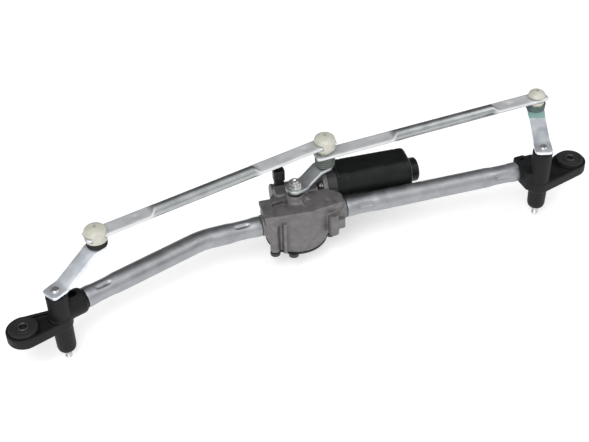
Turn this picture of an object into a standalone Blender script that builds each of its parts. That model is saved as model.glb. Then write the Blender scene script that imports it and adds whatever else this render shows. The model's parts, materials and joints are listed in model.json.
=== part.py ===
"""Twin windscreen-wiper linkage with its gear motor, parked.

Design frame: X runs from the left spindle to the right one, Y from the tubes to the motor, Z up on
the crank side. The design origin lies midway between the spindles, at the height of the tubes' axes.
All sizes are in millimetres; MM turns them into Blender's metres when a mesh is written.
"""
import math

import bmesh
import bpy
from mathutils import Matrix, Vector

MM = 0.001
GAP = 0.3                       # clearance between two pieces that touch

# Driving dimensions
SPINDLE_SPACING = 606.0
TUBE_OD, TUBE_WALL = 25.0, 1.5
SHAFT_XY = (2.0, 62.0)          # output shaft of the gearbox
GEARBOX_YAW = -7.2              # degrees, the motor's axis in plan
CRANK_RADIUS, CRANK_ANGLE = 44.6, 14.0
LEFT_LEVER, LEFT_ROD = 65.9, 293.3
RIGHT_LEVER, RIGHT_ROD = 71.1, 284.2
GEAR_CENTRES, WORM_Z = 33.0, 4.0
WHEEL_R, WORM_R = 27.0, 5.4
WHEEL_TEETH = 44
WORM_PITCH = 2 * math.pi * (WHEEL_R - 1.0) / WHEEL_TEETH
BALL_R, BALL_DROP = 6.5, 6.5    # the balls' centres lie below the rods' middle planes
ROD_OD, ROD_FLAT_W, ROD_FLAT_T, ROD_WALL = 14.6, 20.0, 5.0, 1.3
LEFT_ROD_Z, RIGHT_ROD_Z, LEVER_ROD_Z = 82.0, 65.0, 72.0
LEVER_THICK, LEVER_TAB_Z = 3.5, 54.0
SPINDLE_R, BUSH_R, BORE_R = 5.0, 6.7, 7.0
LUG_R, LUG_THICK, LUG_Z = 20.0, 13.0, -8.0
SPIGOT_R = TUBE_OD / 2 - TUBE_WALL - GAP
FLOOR_Z = -67.0                 # the lower spindle's tip, where the part meets the ground
FRAME_SHIFT = Vector((-6.7, -46.6, -FLOOR_Z))    # puts the origin under the middle of the box

# Each side: spindle x, z of its tip, boss bottom, boss top and lever base, and its mounting lug
SIDES = {
    "left": dict(x=-SPINDLE_SPACING / 2, tip=-67.0, low=-53.0, top=31.5, base=33.0, lug=(-345.5, -5.0)),
    "right": dict(x=SPINDLE_SPACING / 2, tip=-55.5, low=-41.5, top=43.0, base=44.5, lug=(359.0, 19.0)),
}

# Tube axes in plan, from the pivot housing to the gearbox
LEFT_TUBE = [(-271.5, 14.6), (-120.0, 55.5), (-48.0, 52.4)]
LEFT_TUBE_BEND_R = 90.0
RIGHT_TUBE = [(283.7, 23.5), (60.0, 44.1)]

# Gearbox, in its own frame: origin on the output shaft, X along the motor
DECK_TOP, BOWL_BOTTOM, BOWL_R, CAVITY_TOP = 20.0, -34.0, 38.0, 12.0
DECK_OUTLINE = [(-44, -28), (-20, -30), (12, -30.5), (53, -23), (56, -8),
                (49, 1.5), (37, 8), (-28, 7), (-44, 7)]
COVER_SCREWS = [(-33.0, -26.0), (26.0, 32.0), (40.5, -9.0)]
COVER_FOOT = (-12.0, -34.0)
COVER_FOOT_BOTTOM = -40.0
FLANGE_X, FLANGE_T = 38.0, 6.5
CAN_START, CAN_END, CAN_R, CAN_HALF_HEIGHT, CAN_WALL = 56.3, 152.0, 27.4, 24.2, 1.8
CAN_LIFT = 2.2                  # the can's middle lies this far above the armature's axis
MOTOR_SCREWS = [(-18.5, 15.0), (15.0, -19.5)]     # (y, z) from the motor's axis
TOWER = dict(x=(-19.0, -5.0), y=(28.0, 39.0), z=(17.4, 40.0))

GEARBOX = Matrix.Translation((*SHAFT_XY, 0.0)) @ Matrix.Rotation(math.radians(GEARBOX_YAW), 4, "Z")
MOTOR_SPIN = Matrix.Rotation(math.pi / 2, 4, "Y")     # turns a shape's Z axis onto the motor's

COLOURS = {                     # base colour, metallic, roughness
    "zinc": ((0.62, 0.65, 0.68), 1.0, 0.38),
    "steel": ((0.68, 0.68, 0.66), 1.0, 0.3),
    "casting": ((0.33, 0.31, 0.30), 0.8, 0.5),
    "black_paint": ((0.02, 0.02, 0.022), 0.0, 0.35),
    "black_plastic": ((0.025, 0.025, 0.027), 0.0, 0.5),
    "ivory": ((0.78, 0.77, 0.70), 0.0, 0.4),
    "gear_plastic": ((0.75, 0.73, 0.62), 0.0, 0.45),
    "rubber": ((0.015, 0.015, 0.015), 0.0, 0.8),
    "bronze": ((0.55, 0.38, 0.18), 1.0, 0.45),
    "copper": ((0.72, 0.35, 0.2), 1.0, 0.35),
    "carbon": ((0.05, 0.05, 0.05), 0.2, 0.7),
    "ferrite": ((0.09, 0.085, 0.085), 0.1, 0.7),
    "iron": ((0.25, 0.25, 0.26), 0.9, 0.55),
}


# ---- shapes: every function here returns a bmesh in millimetres -------------------------------

def close_up(bm):
    """Merge double points, split bent faces and turn all faces outwards."""
    bmesh.ops.remove_doubles(bm, verts=bm.verts[:], dist=1e-4)
    bmesh.ops.connect_verts_nonplanar(bm, angle_limit=0.001, faces=bm.faces[:])
    bmesh.ops.recalc_face_normals(bm, faces=bm.faces[:])
    return bm


def placed(bm, matrix):
    bmesh.ops.transform(bm, matrix=matrix, verts=bm.verts[:])
    return bm


def loft(rings, closed=True, caps=True):
    """Skin over rings of points; caps fill the first and last ring."""
    bm = bmesh.new()
    loops = [[bm.verts.new(p) for p in ring] for ring in rings]
    count = len(loops[0])
    for a, b in zip(loops, loops[1:]):
        for i in range(count if closed else count - 1):
            j = (i + 1) % count
            bm.faces.new((a[i], a[j], b[j], b[i]))
    if caps:
        bm.faces.new(loops[0][::-1])
        bm.faces.new(loops[-1])
    return close_up(bm)


def shell_loft(outer, inner):
    """Open-ended hollow: an outer and an inner skin, joined by a rim at each end."""
    return loft(outer + inner[::-1] + outer[:1], caps=False)


def lathe(outline, segments=16):
    """Turn a closed (radius, height) outline round Z; radius 0 points lie on the axis."""
    bm = bmesh.new()
    rings = []
    for r, z in outline:
        if r < 1e-6:
            rings.append([bm.verts.new((0, 0, z))])
            continue
        turn = [2 * math.pi * k / segments for k in range(segments)]
        rings.append([bm.verts.new((r * math.cos(t), r * math.sin(t), z)) for t in turn])
    for a, b in zip(rings, rings[1:] + rings[:1]):
        if len(a) == 1 and len(b) == 1:
            continue
        for i in range(segments):
            j = (i + 1) % segments
            corners = [a[i % len(a)], a[j % len(a)], b[j % len(b)], b[i % len(b)]]
            bm.faces.new(list(dict.fromkeys(corners)))
    return close_up(bm)


def rod_between(radius, z0, z1, segments=16):
    return lathe([(0, z0), (radius, z0), (radius, z1), (0, z1)], segments)


def ring(inner, outer, z0, z1, segments=16):
    return lathe([(inner, z0), (outer, z0), (outer, z1), (inner, z1)], segments)


def prism(outline, z0, z1):
    return loft([[(x, y, z) for x, y in outline] for z in (z0, z1)])


def box(x, y, z):
    return prism([(x[0], y[0]), (x[1], y[0]), (x[1], y[1]), (x[0], y[1])], *z)


def boolean(base, tool, operation="DIFFERENCE"):
    """Combine two closed bmeshes with the exact solver; both are used up."""
    objects = []
    for bm in (base, tool):
        mesh = bpy.data.meshes.new("combine")
        bm.to_mesh(mesh)
        bm.free()
        obj = bpy.data.objects.new("combine", mesh)
        bpy.context.scene.collection.objects.link(obj)
        objects.append(obj)
    modifier = objects[0].modifiers.new("combine", "BOOLEAN")
    modifier.operation = operation
    modifier.solver = "EXACT"
    modifier.object = objects[1]
    bpy.context.view_layer.update()
    graph = bpy.context.evaluated_depsgraph_get()
    result = bmesh.new()
    result.from_mesh(objects[0].evaluated_get(graph).to_mesh())
    objects[0].evaluated_get(graph).to_mesh_clear()
    for obj in objects:
        mesh = obj.data
        bpy.data.objects.remove(obj)
        bpy.data.meshes.remove(mesh)
    bmesh.ops.remove_doubles(result, verts=result.verts[:], dist=1e-4)
    bmesh.ops.dissolve_degenerate(result, edges=result.edges[:], dist=1e-4)
    return result


def joined(*shapes):
    base = shapes[0]
    for shape in shapes[1:]:
        base = boolean(base, shape, "UNION")
    return base


def cut(base, *tools):
    for tool in tools:
        base = boolean(base, tool)
    return base


def along(start, end):
    """Frame at start whose Z axis points at end and whose X axis stays level."""
    start, end = Vector(start), Vector(end)
    z = (end - start).normalized()
    x = Vector((-z.y, z.x, 0)).normalized()
    return Matrix.Translation(start) @ Matrix((x, z.cross(x), z)).transposed().to_4x4()


def beam_frame(start, end):
    """Frame at start whose X axis points at end and whose Y axis stays level."""
    start, end = Vector(start), Vector(end)
    x = (end - start).normalized()
    y = Vector((-x.y, x.x, 0)).normalized()
    return Matrix.Translation(start) @ Matrix((x, y, x.cross(y))).transposed().to_4x4()


def two_circle_outline(a, ra, b, rb, steps=9):
    """Outline that wraps two circles of different radii."""
    a, b = Vector(a), Vector(b)
    heading = math.atan2(b.y - a.y, b.x - a.x)
    lean = math.acos((ra - rb) / (b - a).length)
    points = []
    for centre, radius, t0, t1 in ((b, rb, -lean, lean), (a, ra, lean, 2 * math.pi - lean)):
        for k in range(steps + 1):
            t = heading + t0 + (t1 - t0) * k / steps
            points.append((centre.x + radius * math.cos(t), centre.y + radius * math.sin(t)))
    return points


def can_section(radius, half_height, x, segments=28):
    """Round section with flats above and below, in the YZ plane at x, lifted off the axis."""
    turn = [2 * math.pi * k / segments for k in range(segments)]
    points = [(radius * math.cos(t), radius * math.sin(t)) for t in turn]
    return [(x, y, CAN_LIFT + max(-half_height, min(half_height, z))) for y, z in points]


def bent_strip(length, r0, r1, z_low, z_high, rise, thick, power=2.0):
    """Cranked flat bar along X, sloping up between two bends; a higher power squares its low end."""
    ends0 = [-r0 * math.cos(math.radians(t)) for t in range(10, 90, 20)]
    ends1 = [length + r1 * math.sin(math.radians(t)) for t in range(0, 81, 16)]
    rings = []
    for s in ends0 + [0, rise[0], rise[1]] + ends1:
        if s < 0:
            half = (r0 ** power - abs(s) ** power) ** (1 / power)
        elif s <= length:
            half = r0 + (r1 - r0) * s / length
        else:
            half = math.sqrt(r1 ** 2 - (s - length) ** 2)
        lift = min(1.0, max(0.0, (s - rise[0]) / (rise[1] - rise[0])))
        z = z_low + (z_high - z_low) * lift
        rings.append([(s, -half, z), (s, half, z), (s, half, z + thick), (s, -half, z + thick)])
    return loft(rings)


# ---- tubes and rods ----------------------------------------------------------------------------

def round_ring(centre, direction, radius, segments=18):
    side = Vector((-direction.y, direction.x, 0)).normalized()
    up = direction.cross(side)
    turn = [2 * math.pi * k / segments for k in range(segments)]
    return [centre + side * radius * math.cos(t) + up * radius * math.sin(t) for t in turn]


def tube_path(corners, bend_radius=None, steps=6):
    """Centre line through the corners, with an arc in place of the middle one."""
    points = [Vector((*c, 0)) for c in corners]
    if len(points) == 2:
        return [(p, (points[1] - points[0]).normalized()) for p in points]
    before = (points[1] - points[0]).normalized()
    after = (points[2] - points[1]).normalized()
    turn = before.angle(after) * (1 if before.cross(after).z > 0 else -1)
    start = points[1] - before * abs(bend_radius * math.tan(turn / 2))
    left = Vector((-before.y, before.x, 0)) * (1 if turn > 0 else -1)
    centre = start + left * bend_radius
    path = [(points[0], before)]
    for k in range(steps + 1):
        spin = Matrix.Rotation(turn * k / steps, 3, "Z")
        path.append((centre + spin @ (start - centre), spin @ before))
    return path + [(points[2], after)]


def tube(corners, bend_radius=None):
    path = tube_path(corners, bend_radius)
    outer = [round_ring(p, d, TUBE_OD / 2) for p, d in path]
    inner = [round_ring(p, d, TUBE_OD / 2 - TUBE_WALL) for p, d in path]
    return shell_loft(outer, inner)


def rod_ring(s, half_width, half_thick, power, segments=16):
    """Superellipse section at distance s along the rod."""
    points = []
    for k in range(segments):
        c, n = math.cos(2 * math.pi * k / segments), math.sin(2 * math.pi * k / segments)
        y = math.copysign(abs(c) ** (2 / power), c) * half_width
        z = math.copysign(abs(n) ** (2 / power), n) * half_thick
        points.append((s, y, z))
    return points


def rod(pin, ball, inner_flat, outer_flat, holes):
    """Tube with pressed-flat ends, from 12 mm before the pin to 13 mm past the lever's ball."""
    frame = beam_frame(pin, ball)
    length = (Vector(ball) - Vector(pin)).length
    flat = (ROD_FLAT_W / 2, ROD_FLAT_T / 2, 3.2)
    full = (ROD_OD / 2, ROD_OD / 2, 2.0)
    mid = tuple((a + b) / 2 for a, b in zip(flat, full))
    press = 9.0
    stations = [(-12, (8.0, 2.3, 3.2)), (-9.5, flat), (inner_flat, flat), (inner_flat + press / 2, mid),
                (inner_flat + press, full), (length - outer_flat - press, full),
                (length - outer_flat - press / 2, mid), (length - outer_flat, flat),
                (length + 11.5, flat), (length + 13, (8.8, 2.3, 3.2))]
    outer = [rod_ring(s, *shape) for s, shape in stations]
    inner = [rod_ring(s, w - ROD_WALL, t - ROD_WALL, p) for s, (w, t, p) in stations]
    body = placed(shell_loft(outer, inner), frame)
    for (x, y, z), radius in holes:
        hole = rod_between(radius, z - 12, z + 12)
        body = cut(body, placed(hole, Matrix.Translation((x, y, 0))))
    return body


def sphere_arc(radius, centre, low, high, steps=4):
    """Points of a turned ball between two heights, from low to high."""
    t0, t1 = math.asin((low - centre) / radius), math.asin((high - centre) / radius)
    turn = [t0 + (t1 - t0) * k / steps for k in range(steps + 1)]
    return [(radius * math.cos(t), centre + radius * math.sin(t)) for t in turn]


SOCKET_CAVITY = BALL_R + 0.4
SOCKET_NECK = 7.2
SKIRT_Z = -6.8                  # how far a wide cap reaches down beside the rod
CHANNEL_W, CHANNEL_T = 20.8, 6.6


def socket(x, y, z, head_r, head_top, heading):
    """Moulded cup under the rod and a domed cap above it, joined through the rod's hole.

    A cap wider than the rod also reaches down on both sides of it to the cup.
    """
    ball = -BALL_DROP
    low = ball - 4.4
    cavity = sphere_arc(SOCKET_CAVITY, ball, low, ball + SOCKET_CAVITY - 1e-4, 6)
    outline = [(0, cavity[-1][1])] + cavity[-2::-1]
    wide = max(10.0, head_r)
    outline += [(5.6, low - 0.6), (9.4, low - 0.6), (10.0, low + 1.5), (10.0, SKIRT_Z), (wide, SKIRT_Z + 0.8),
                (wide, -CHANNEL_T / 2), (head_r, CHANNEL_T / 2)]
    dome = [(math.cos(t), math.sin(t)) for t in (math.radians(18 * k) for k in range(1, 5))]
    shoulder = CHANNEL_T / 2 + 1.0
    outline += [(head_r, shoulder)] + [(head_r * c, shoulder + (head_top - shoulder) * n) for c, n in dome]
    body = lathe(outline + [(0, head_top)], 20)
    channel = box((-20, 20), (-CHANNEL_W / 2, CHANNEL_W / 2), (-CHANNEL_T / 2, CHANNEL_T / 2))
    if wide < CHANNEL_W / 2 + 1.5:
        channel = rod_between(20, -CHANNEL_T / 2, CHANNEL_T / 2)
    channel = cut(channel, rod_between(SOCKET_NECK, -9, 9))
    body = cut(body, placed(channel, Matrix.Rotation(heading, 4, "Z")))
    return placed(body, Matrix.Translation((x, y, z)))


def ring_socket(x, y, z):
    """Socket for the lower of the crank pin's two balls, open above for the pin."""
    ball = -BALL_DROP
    low, high = ball - 4.4, ball + 4.6
    cavity = sphere_arc(SOCKET_CAVITY, ball, low, high, 5)
    outline = cavity[::-1]
    outline += [(5.6, low - 0.6), (9.4, low - 0.6), (10.0, low + 1.5), (10.0, -3.3), (SOCKET_NECK, -3.3),
                (SOCKET_NECK, 3.1), (9.4, 3.1), (9.4, 4.5), (5.2, 4.5)]
    return placed(lathe(outline), Matrix.Translation((x, y, z)))


def ball_stud(x, y, ball_z, flange_z):
    """Ball on a neck and a round flange, which stands just clear of the lever's tab."""
    arc = sphere_arc(BALL_R, ball_z, ball_z - 5.1, ball_z + 6.1)
    outline = [(0, flange_z), (8.4, flange_z), (8.4, flange_z + 2.0), (4.0, flange_z + 2.0)] + arc
    return placed(lathe(outline + [(0, arc[-1][1])]), Matrix.Translation((x, y, 0)))


def boot(x, y, low, high, narrow, wide, wall=1.5):
    """Rubber dust boot: a short cone round a ball."""
    outline = [(narrow, low), (narrow + wall, low), (wide + wall, high - 1.5), (wide + wall, high),
               (wide, high)]
    return placed(lathe(outline), Matrix.Translation((x, y, 0)))


# ---- objects -----------------------------------------------------------------------------------

def make_material(name):
    colour, metallic, roughness = COLOURS[name]
    material = bpy.data.materials.new(name)
    material.use_nodes = True
    shader = material.node_tree.nodes["Principled BSDF"]
    shader.inputs["Base Color"].default_value = (*colour, 1)
    shader.inputs["Metallic"].default_value = metallic
    shader.inputs["Roughness"].default_value = roughness
    return material


def add_empty(name, location, parent=None):
    empty = bpy.data.objects.new(name, None)
    empty.location = Vector(location) * MM
    empty.parent = parent
    bpy.context.scene.collection.objects.link(empty)
    return empty


def add_piece(name, shape, material, axis):
    """Write a shape, modelled in the design frame, as an object whose origin is its body's axis."""
    placed(shape, Matrix.Scale(MM, 4) @ Matrix.Translation(-axis["at"]))
    bmesh.ops.triangulate(shape, faces=shape.faces[:])
    bmesh.ops.recalc_face_normals(shape, faces=shape.faces[:])
    mesh = bpy.data.meshes.new(name)
    shape.to_mesh(mesh)
    shape.free()
    mesh.shade_smooth()
    mesh.set_sharp_from_angle(angle=math.radians(35))
    mesh.materials.append(bpy.data.materials.get(material) or make_material(material))
    obj = bpy.data.objects.new(name, mesh)
    obj.parent = axis["empty"]
    bpy.context.scene.collection.objects.link(obj)
    return obj


def polar(centre, radius, degrees):
    t = math.radians(degrees)
    return centre[0] + radius * math.cos(t), centre[1] + radius * math.sin(t)


def meeting_point(centre, reach, pin, rod_length, side):
    """Where a lever of length reach meets a rod of length rod_length that starts at the pin."""
    gap = Vector(pin) - Vector(centre)
    foot = (reach ** 2 - rod_length ** 2 + gap.length_squared) / (2 * gap.length)
    off = math.sqrt(reach ** 2 - foot ** 2) * side
    unit = gap.normalized()
    point = Vector(centre) + unit * foot + Vector((-unit.y, unit.x)) * off
    return point.x, point.y


# ---- sub-assemblies ----------------------------------------------------------------------------

def pivot_housing(side, data, tube_corners):
    """Black casting: a boss for the spindle, a spigot for the tube and a mounting lug."""
    x, (lug_x, lug_y) = data["x"], data["lug"]
    at_spindle = Matrix.Translation((x, 0, 0))
    boss = lathe([(0, data["low"]), (9.6, data["low"]), (11.2, data["low"] + 4), (11.6, -12), (12.2, 0),
                  (12.2, data["top"]), (0, data["top"])], 20)
    end, other = Vector((*tube_corners[0], 0)), Vector((*tube_corners[1], 0))
    out = (other - end).normalized()
    face = end - out * 1.0
    spigot = placed(rod_between(SPIGOT_R, -8, 28), along(face, face + out))
    wrap = two_circle_outline((x, 0), 13.0, (lug_x, lug_y), LUG_R)
    arm = prism(wrap, LUG_Z - LUG_THICK / 2, LUG_Z + LUG_THICK / 2)
    if side == "left":
        block = placed(lathe([(0, -33), (12.5, -33), (15.4, -29), (15.4, -4), (12.5, 0), (0, 0)], 18),
                       along(face, face + out))
        hole = placed(rod_between(5.0, 9, 20, 14), Matrix.Translation((face.x - 13, face.y - 4, 0)))
    else:
        block = box((285.5, 312), (-3, 34), (-13, 12.5))
        hole = placed(rod_between(2.6, 5, 20, 12), Matrix.Translation((293, 27, 0)))
    body = joined(placed(boss, at_spindle), block, arm, spigot)
    bore = placed(rod_between(BORE_R, -80, 60), at_spindle)
    eye = placed(rod_between(12.5, -20, 20, 18), Matrix.Translation((lug_x, lug_y, LUG_Z)))
    return cut(body, bore, eye, hole)


def lug_fittings(side, data, frame):
    x, y = data["lug"]
    half = LUG_THICK / 2
    grommet = [(6.8, -half - 3.5), (15.5, -half - 3.5), (16.5, -half - 2.5), (16.5, -half - GAP),
               (12.2, -half - GAP), (12.2, half + GAP), (16.5, half + GAP), (16.5, half + 2.5),
               (15.5, half + 3.5), (6.8, half + 3.5)]
    at_lug = Matrix.Translation((x, y, LUG_Z))
    add_piece(f"{side}_grommet", placed(lathe(grommet, 18), at_lug), "rubber", frame)
    sleeve = ring(4.3, 6.5, -half - 4.2, half + 4.2)
    add_piece(f"{side}_sleeve", placed(sleeve, at_lug), "zinc", frame)


def spindle_set(side, data, reach, angle, frame, lever_axis):
    """Bushes in the housing, and the spindle, lever and clip that turn in them."""
    at = Matrix.Translation((data["x"], 0, 0))
    low, top, base, tip = data["low"], data["top"], data["base"], data["tip"]
    add_piece(f"{side}_upper_bush", placed(ring(5.3, BUSH_R, top - 14, top - 0.2), at), "bronze", frame)
    add_piece(f"{side}_lower_bush", placed(ring(5.3, BUSH_R, low + 0.2, low + 14), at), "bronze", frame)
    spindle = lathe([(0, tip), (3.2, tip), (3.9, tip + 0.8), (3.9, tip + 6.5), (4.6, tip + 10),
                     (SPINDLE_R, tip + 11), (SPINDLE_R, base + LEVER_THICK + 1), (4.2, base + LEVER_THICK + 2),
                     (0, base + LEVER_THICK + 2)])
    add_piece(f"{side}_spindle", placed(spindle, at), "steel", lever_axis)
    add_piece(f"{side}_circlip", placed(ring(5.3, 8.6, low - 1.5, low - GAP), at), "steel", lever_axis)
    bends = (9.0, reach - 10.5)
    lever = bent_strip(reach, 10.8, 11.0, base, LEVER_TAB_Z, bends, LEVER_THICK, power=5.0)
    lever = cut(lever, rod_between(5.3, base - 5, base + 10))
    turn = at @ Matrix.Rotation(math.radians(angle), 4, "Z")
    add_piece(f"{side}_lever", placed(lever, turn), "zinc", lever_axis)


def gearbox_housing():
    """Die-cast bowl for the worm wheel, with a deck, a worm tunnel, a motor flange and two spigots."""
    corners = [math.atan2(y, x) for x, y in DECK_OUTLINE]
    angles = sorted(set(round(t, 6) for t in corners + [math.pi * k / 14 for k in range(-13, 15)]))
    rim = []
    for t in angles:
        ray, best = Vector((math.cos(t), math.sin(t))), 0
        for a, b in zip(DECK_OUTLINE, DECK_OUTLINE[1:] + DECK_OUTLINE[:1]):
            edge = Vector(b) - Vector(a)
            cross = ray.x * edge.y - ray.y * edge.x
            if abs(cross) > 1e-9:
                far = (a[0] * edge.y - a[1] * edge.x) / cross
                share = (a[0] * ray.y - a[1] * ray.x) / cross
                if far > 0 and -1e-6 <= share <= 1 + 1e-6:
                    best = max(best, far)
        rim.append(max(best, 22.0))
    def level(z, share):
        reach = [r * (1 - share) + BOWL_R * share for r in rim]
        return [(r * math.cos(t), r * math.sin(t), z) for r, t in zip(reach, angles)]
    bowl = loft([level(BOWL_BOTTOM, 1.0), level(-10, 0.45), level(DECK_TOP - 6, 0.0), level(DECK_TOP, 0.0)])
    at_worm = Matrix.Translation((0, GEAR_CENTRES, WORM_Z)) @ Matrix.Rotation(math.pi / 2, 4, "Y")
    tunnel = placed(rod_between(13.0, -23, FLANGE_X + 1, 24), at_worm)
    web = box((-22, 31), (2, GEAR_CENTRES), (-8, DECK_TOP - 3))
    back_wall = lathe([(0, BOWL_BOTTOM), (BOWL_R, BOWL_BOTTOM), (32.0, CAVITY_TOP + 2), (0, CAVITY_TOP + 2)], 40)
    back_wall = cut(back_wall, box((-60, 60), (-60, -2), (-60, 60)))
    raised = box((-21.5, 31), (8, 27), (0, DECK_TOP + 2))
    flange = loft([can_section(CAN_R + 1, CAN_HALF_HEIGHT + 2, x) for x in (FLANGE_X, FLANGE_X + FLANGE_T)])
    placed(flange, Matrix.Translation((0, GEAR_CENTRES, WORM_Z)))
    boss = lathe([(0, 10), (12.5, 10), (11.0, DECK_TOP + 6), (10.0, DECK_TOP + 8), (0, DECK_TOP + 8)], 24)
    ear = placed(rod_between(6.5, -22, 8, 16), Matrix.Translation((40, -28, 0)))
    rib = box((-24, -20), (-38, -20), (BOWL_BOTTOM + 1, 12))
    body = joined(bowl, back_wall, tunnel, web, raised, flange, boss, ear, rib)
    for x, y in COVER_SCREWS:
        body = joined(body, placed(rod_between(6.0, BOWL_BOTTOM, -12, 16), Matrix.Translation((x, y, 0))))
    cavity = lathe([(0, BOWL_BOTTOM - 5), (35.1, BOWL_BOTTOM - 5), (28.5, CAVITY_TOP), (0, CAVITY_TOP)], 32)
    worm_bore = placed(rod_between(6.5, -21.5, 60), at_worm)
    shaft_bore = rod_between(8.3, -40, 60)
    pocket = placed(prism(two_circle_outline((-4.5, 0), 5.2, (4.5, 0), 5.2001, 8), 13.8, 40),
                    Matrix.Translation((-21, -6, 0)) @ Matrix.Rotation(math.radians(10), 4, "Z"))
    notch = box((-50, -39), (0, 11), (5, 14))
    body = cut(body, cavity, worm_bore, shaft_bore, pocket, notch)
    body = cut(body, placed(rod_between(2.5, -40, -5, 12), Matrix.Translation((40, -28, 0))))
    for x, y in COVER_SCREWS:
        body = cut(body, placed(rod_between(2.3, -40, -16, 10), Matrix.Translation((x, y, 0))))
    for y, z in MOTOR_SCREWS:
        hole = rod_between(2.8, 30, 50, 10)
        body = cut(body, placed(hole, at_worm @ Matrix.Translation((-z, y, 0))))
    placed(body, GEARBOX)
    for corners_of_tube in (LEFT_TUBE[::-1], RIGHT_TUBE[::-1]):
        end, other = Vector((*corners_of_tube[0], 0)), Vector((*corners_of_tube[1], 0))
        out = (other - end).normalized()
        face = end - out * 0.8
        body = joined(body, placed(rod_between(12.8, -12, 0, 24), along(face, face + out)))
        body = joined(body, placed(rod_between(SPIGOT_R, -8, 26), along(face, face + out)))
    return body


def add_gearbox(frame):
    add_piece("gearbox_housing", gearbox_housing(), "casting", frame)
    plate = rod_between(38.3, -37.5, BOWL_BOTTOM - 1.2, 32)
    for x, y in COVER_SCREWS + [COVER_FOOT]:
        foot = rod_between(6.2, COVER_FOOT_BOTTOM, BOWL_BOTTOM - 1.2, 12)
        plate = joined(plate, placed(foot, Matrix.Translation((x, y, 0))))
    for number, (x, y) in enumerate(COVER_SCREWS, 1):
        at = Matrix.Translation((x, y, 0))
        plate = cut(plate, placed(rod_between(2.4, -60, -30, 10), at))
        plate = cut(plate, placed(rod_between(4.4, -60, -37.2), at))
        screw = lathe([(0, -39.6), (3.0, -39.6), (4.0, -38.8), (4.0, -37.5), (2.0, -37.5), (2.0, -17),
                       (0, -17)], 12)
        add_piece(f"cover_screw_{number}", placed(screw, GEARBOX @ at), "steel", frame)
    add_piece("gearbox_cover", placed(plate, GEARBOX), "black_plastic", frame)
    gasket = placed(ring(35.0, 37.6, BOWL_BOTTOM - 0.9, BOWL_BOTTOM - GAP, 32), GEARBOX)
    add_piece("cover_gasket", gasket, "rubber", frame)
    add_piece("output_bush", placed(ring(6.3, 8.0, 13, DECK_TOP + 7.5), GEARBOX), "bronze", frame)
    add_piece("shaft_seal", placed(ring(6.4, 9.4, DECK_TOP + 8.4, DECK_TOP + 11), GEARBOX), "rubber", frame)
    (x0, x1), (y0, y1), (z0, z1) = (TOWER[k] for k in "xyz")
    tower = box((x0, x1), (y0, y1), (z0, z1))
    wall = 1.6
    tower = cut(tower, box((x0 + wall, x1 - wall), (y0 + wall, y1 - wall), (z0 + 5, z1 + 5)))
    add_piece("connector_tower", placed(tower, GEARBOX), "black_plastic", frame)
    for number, x in enumerate((x0 + 4.5, x1 - 4.5), 1):
        middle = (y0 + y1) / 2
        blade = box((x - 0.4, x + 0.4), (middle - 1.5, middle + 1.5), (z0 + 5 + GAP, z1 - 4))
        add_piece(f"terminal_{number}", placed(blade, GEARBOX), "copper", frame)


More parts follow.
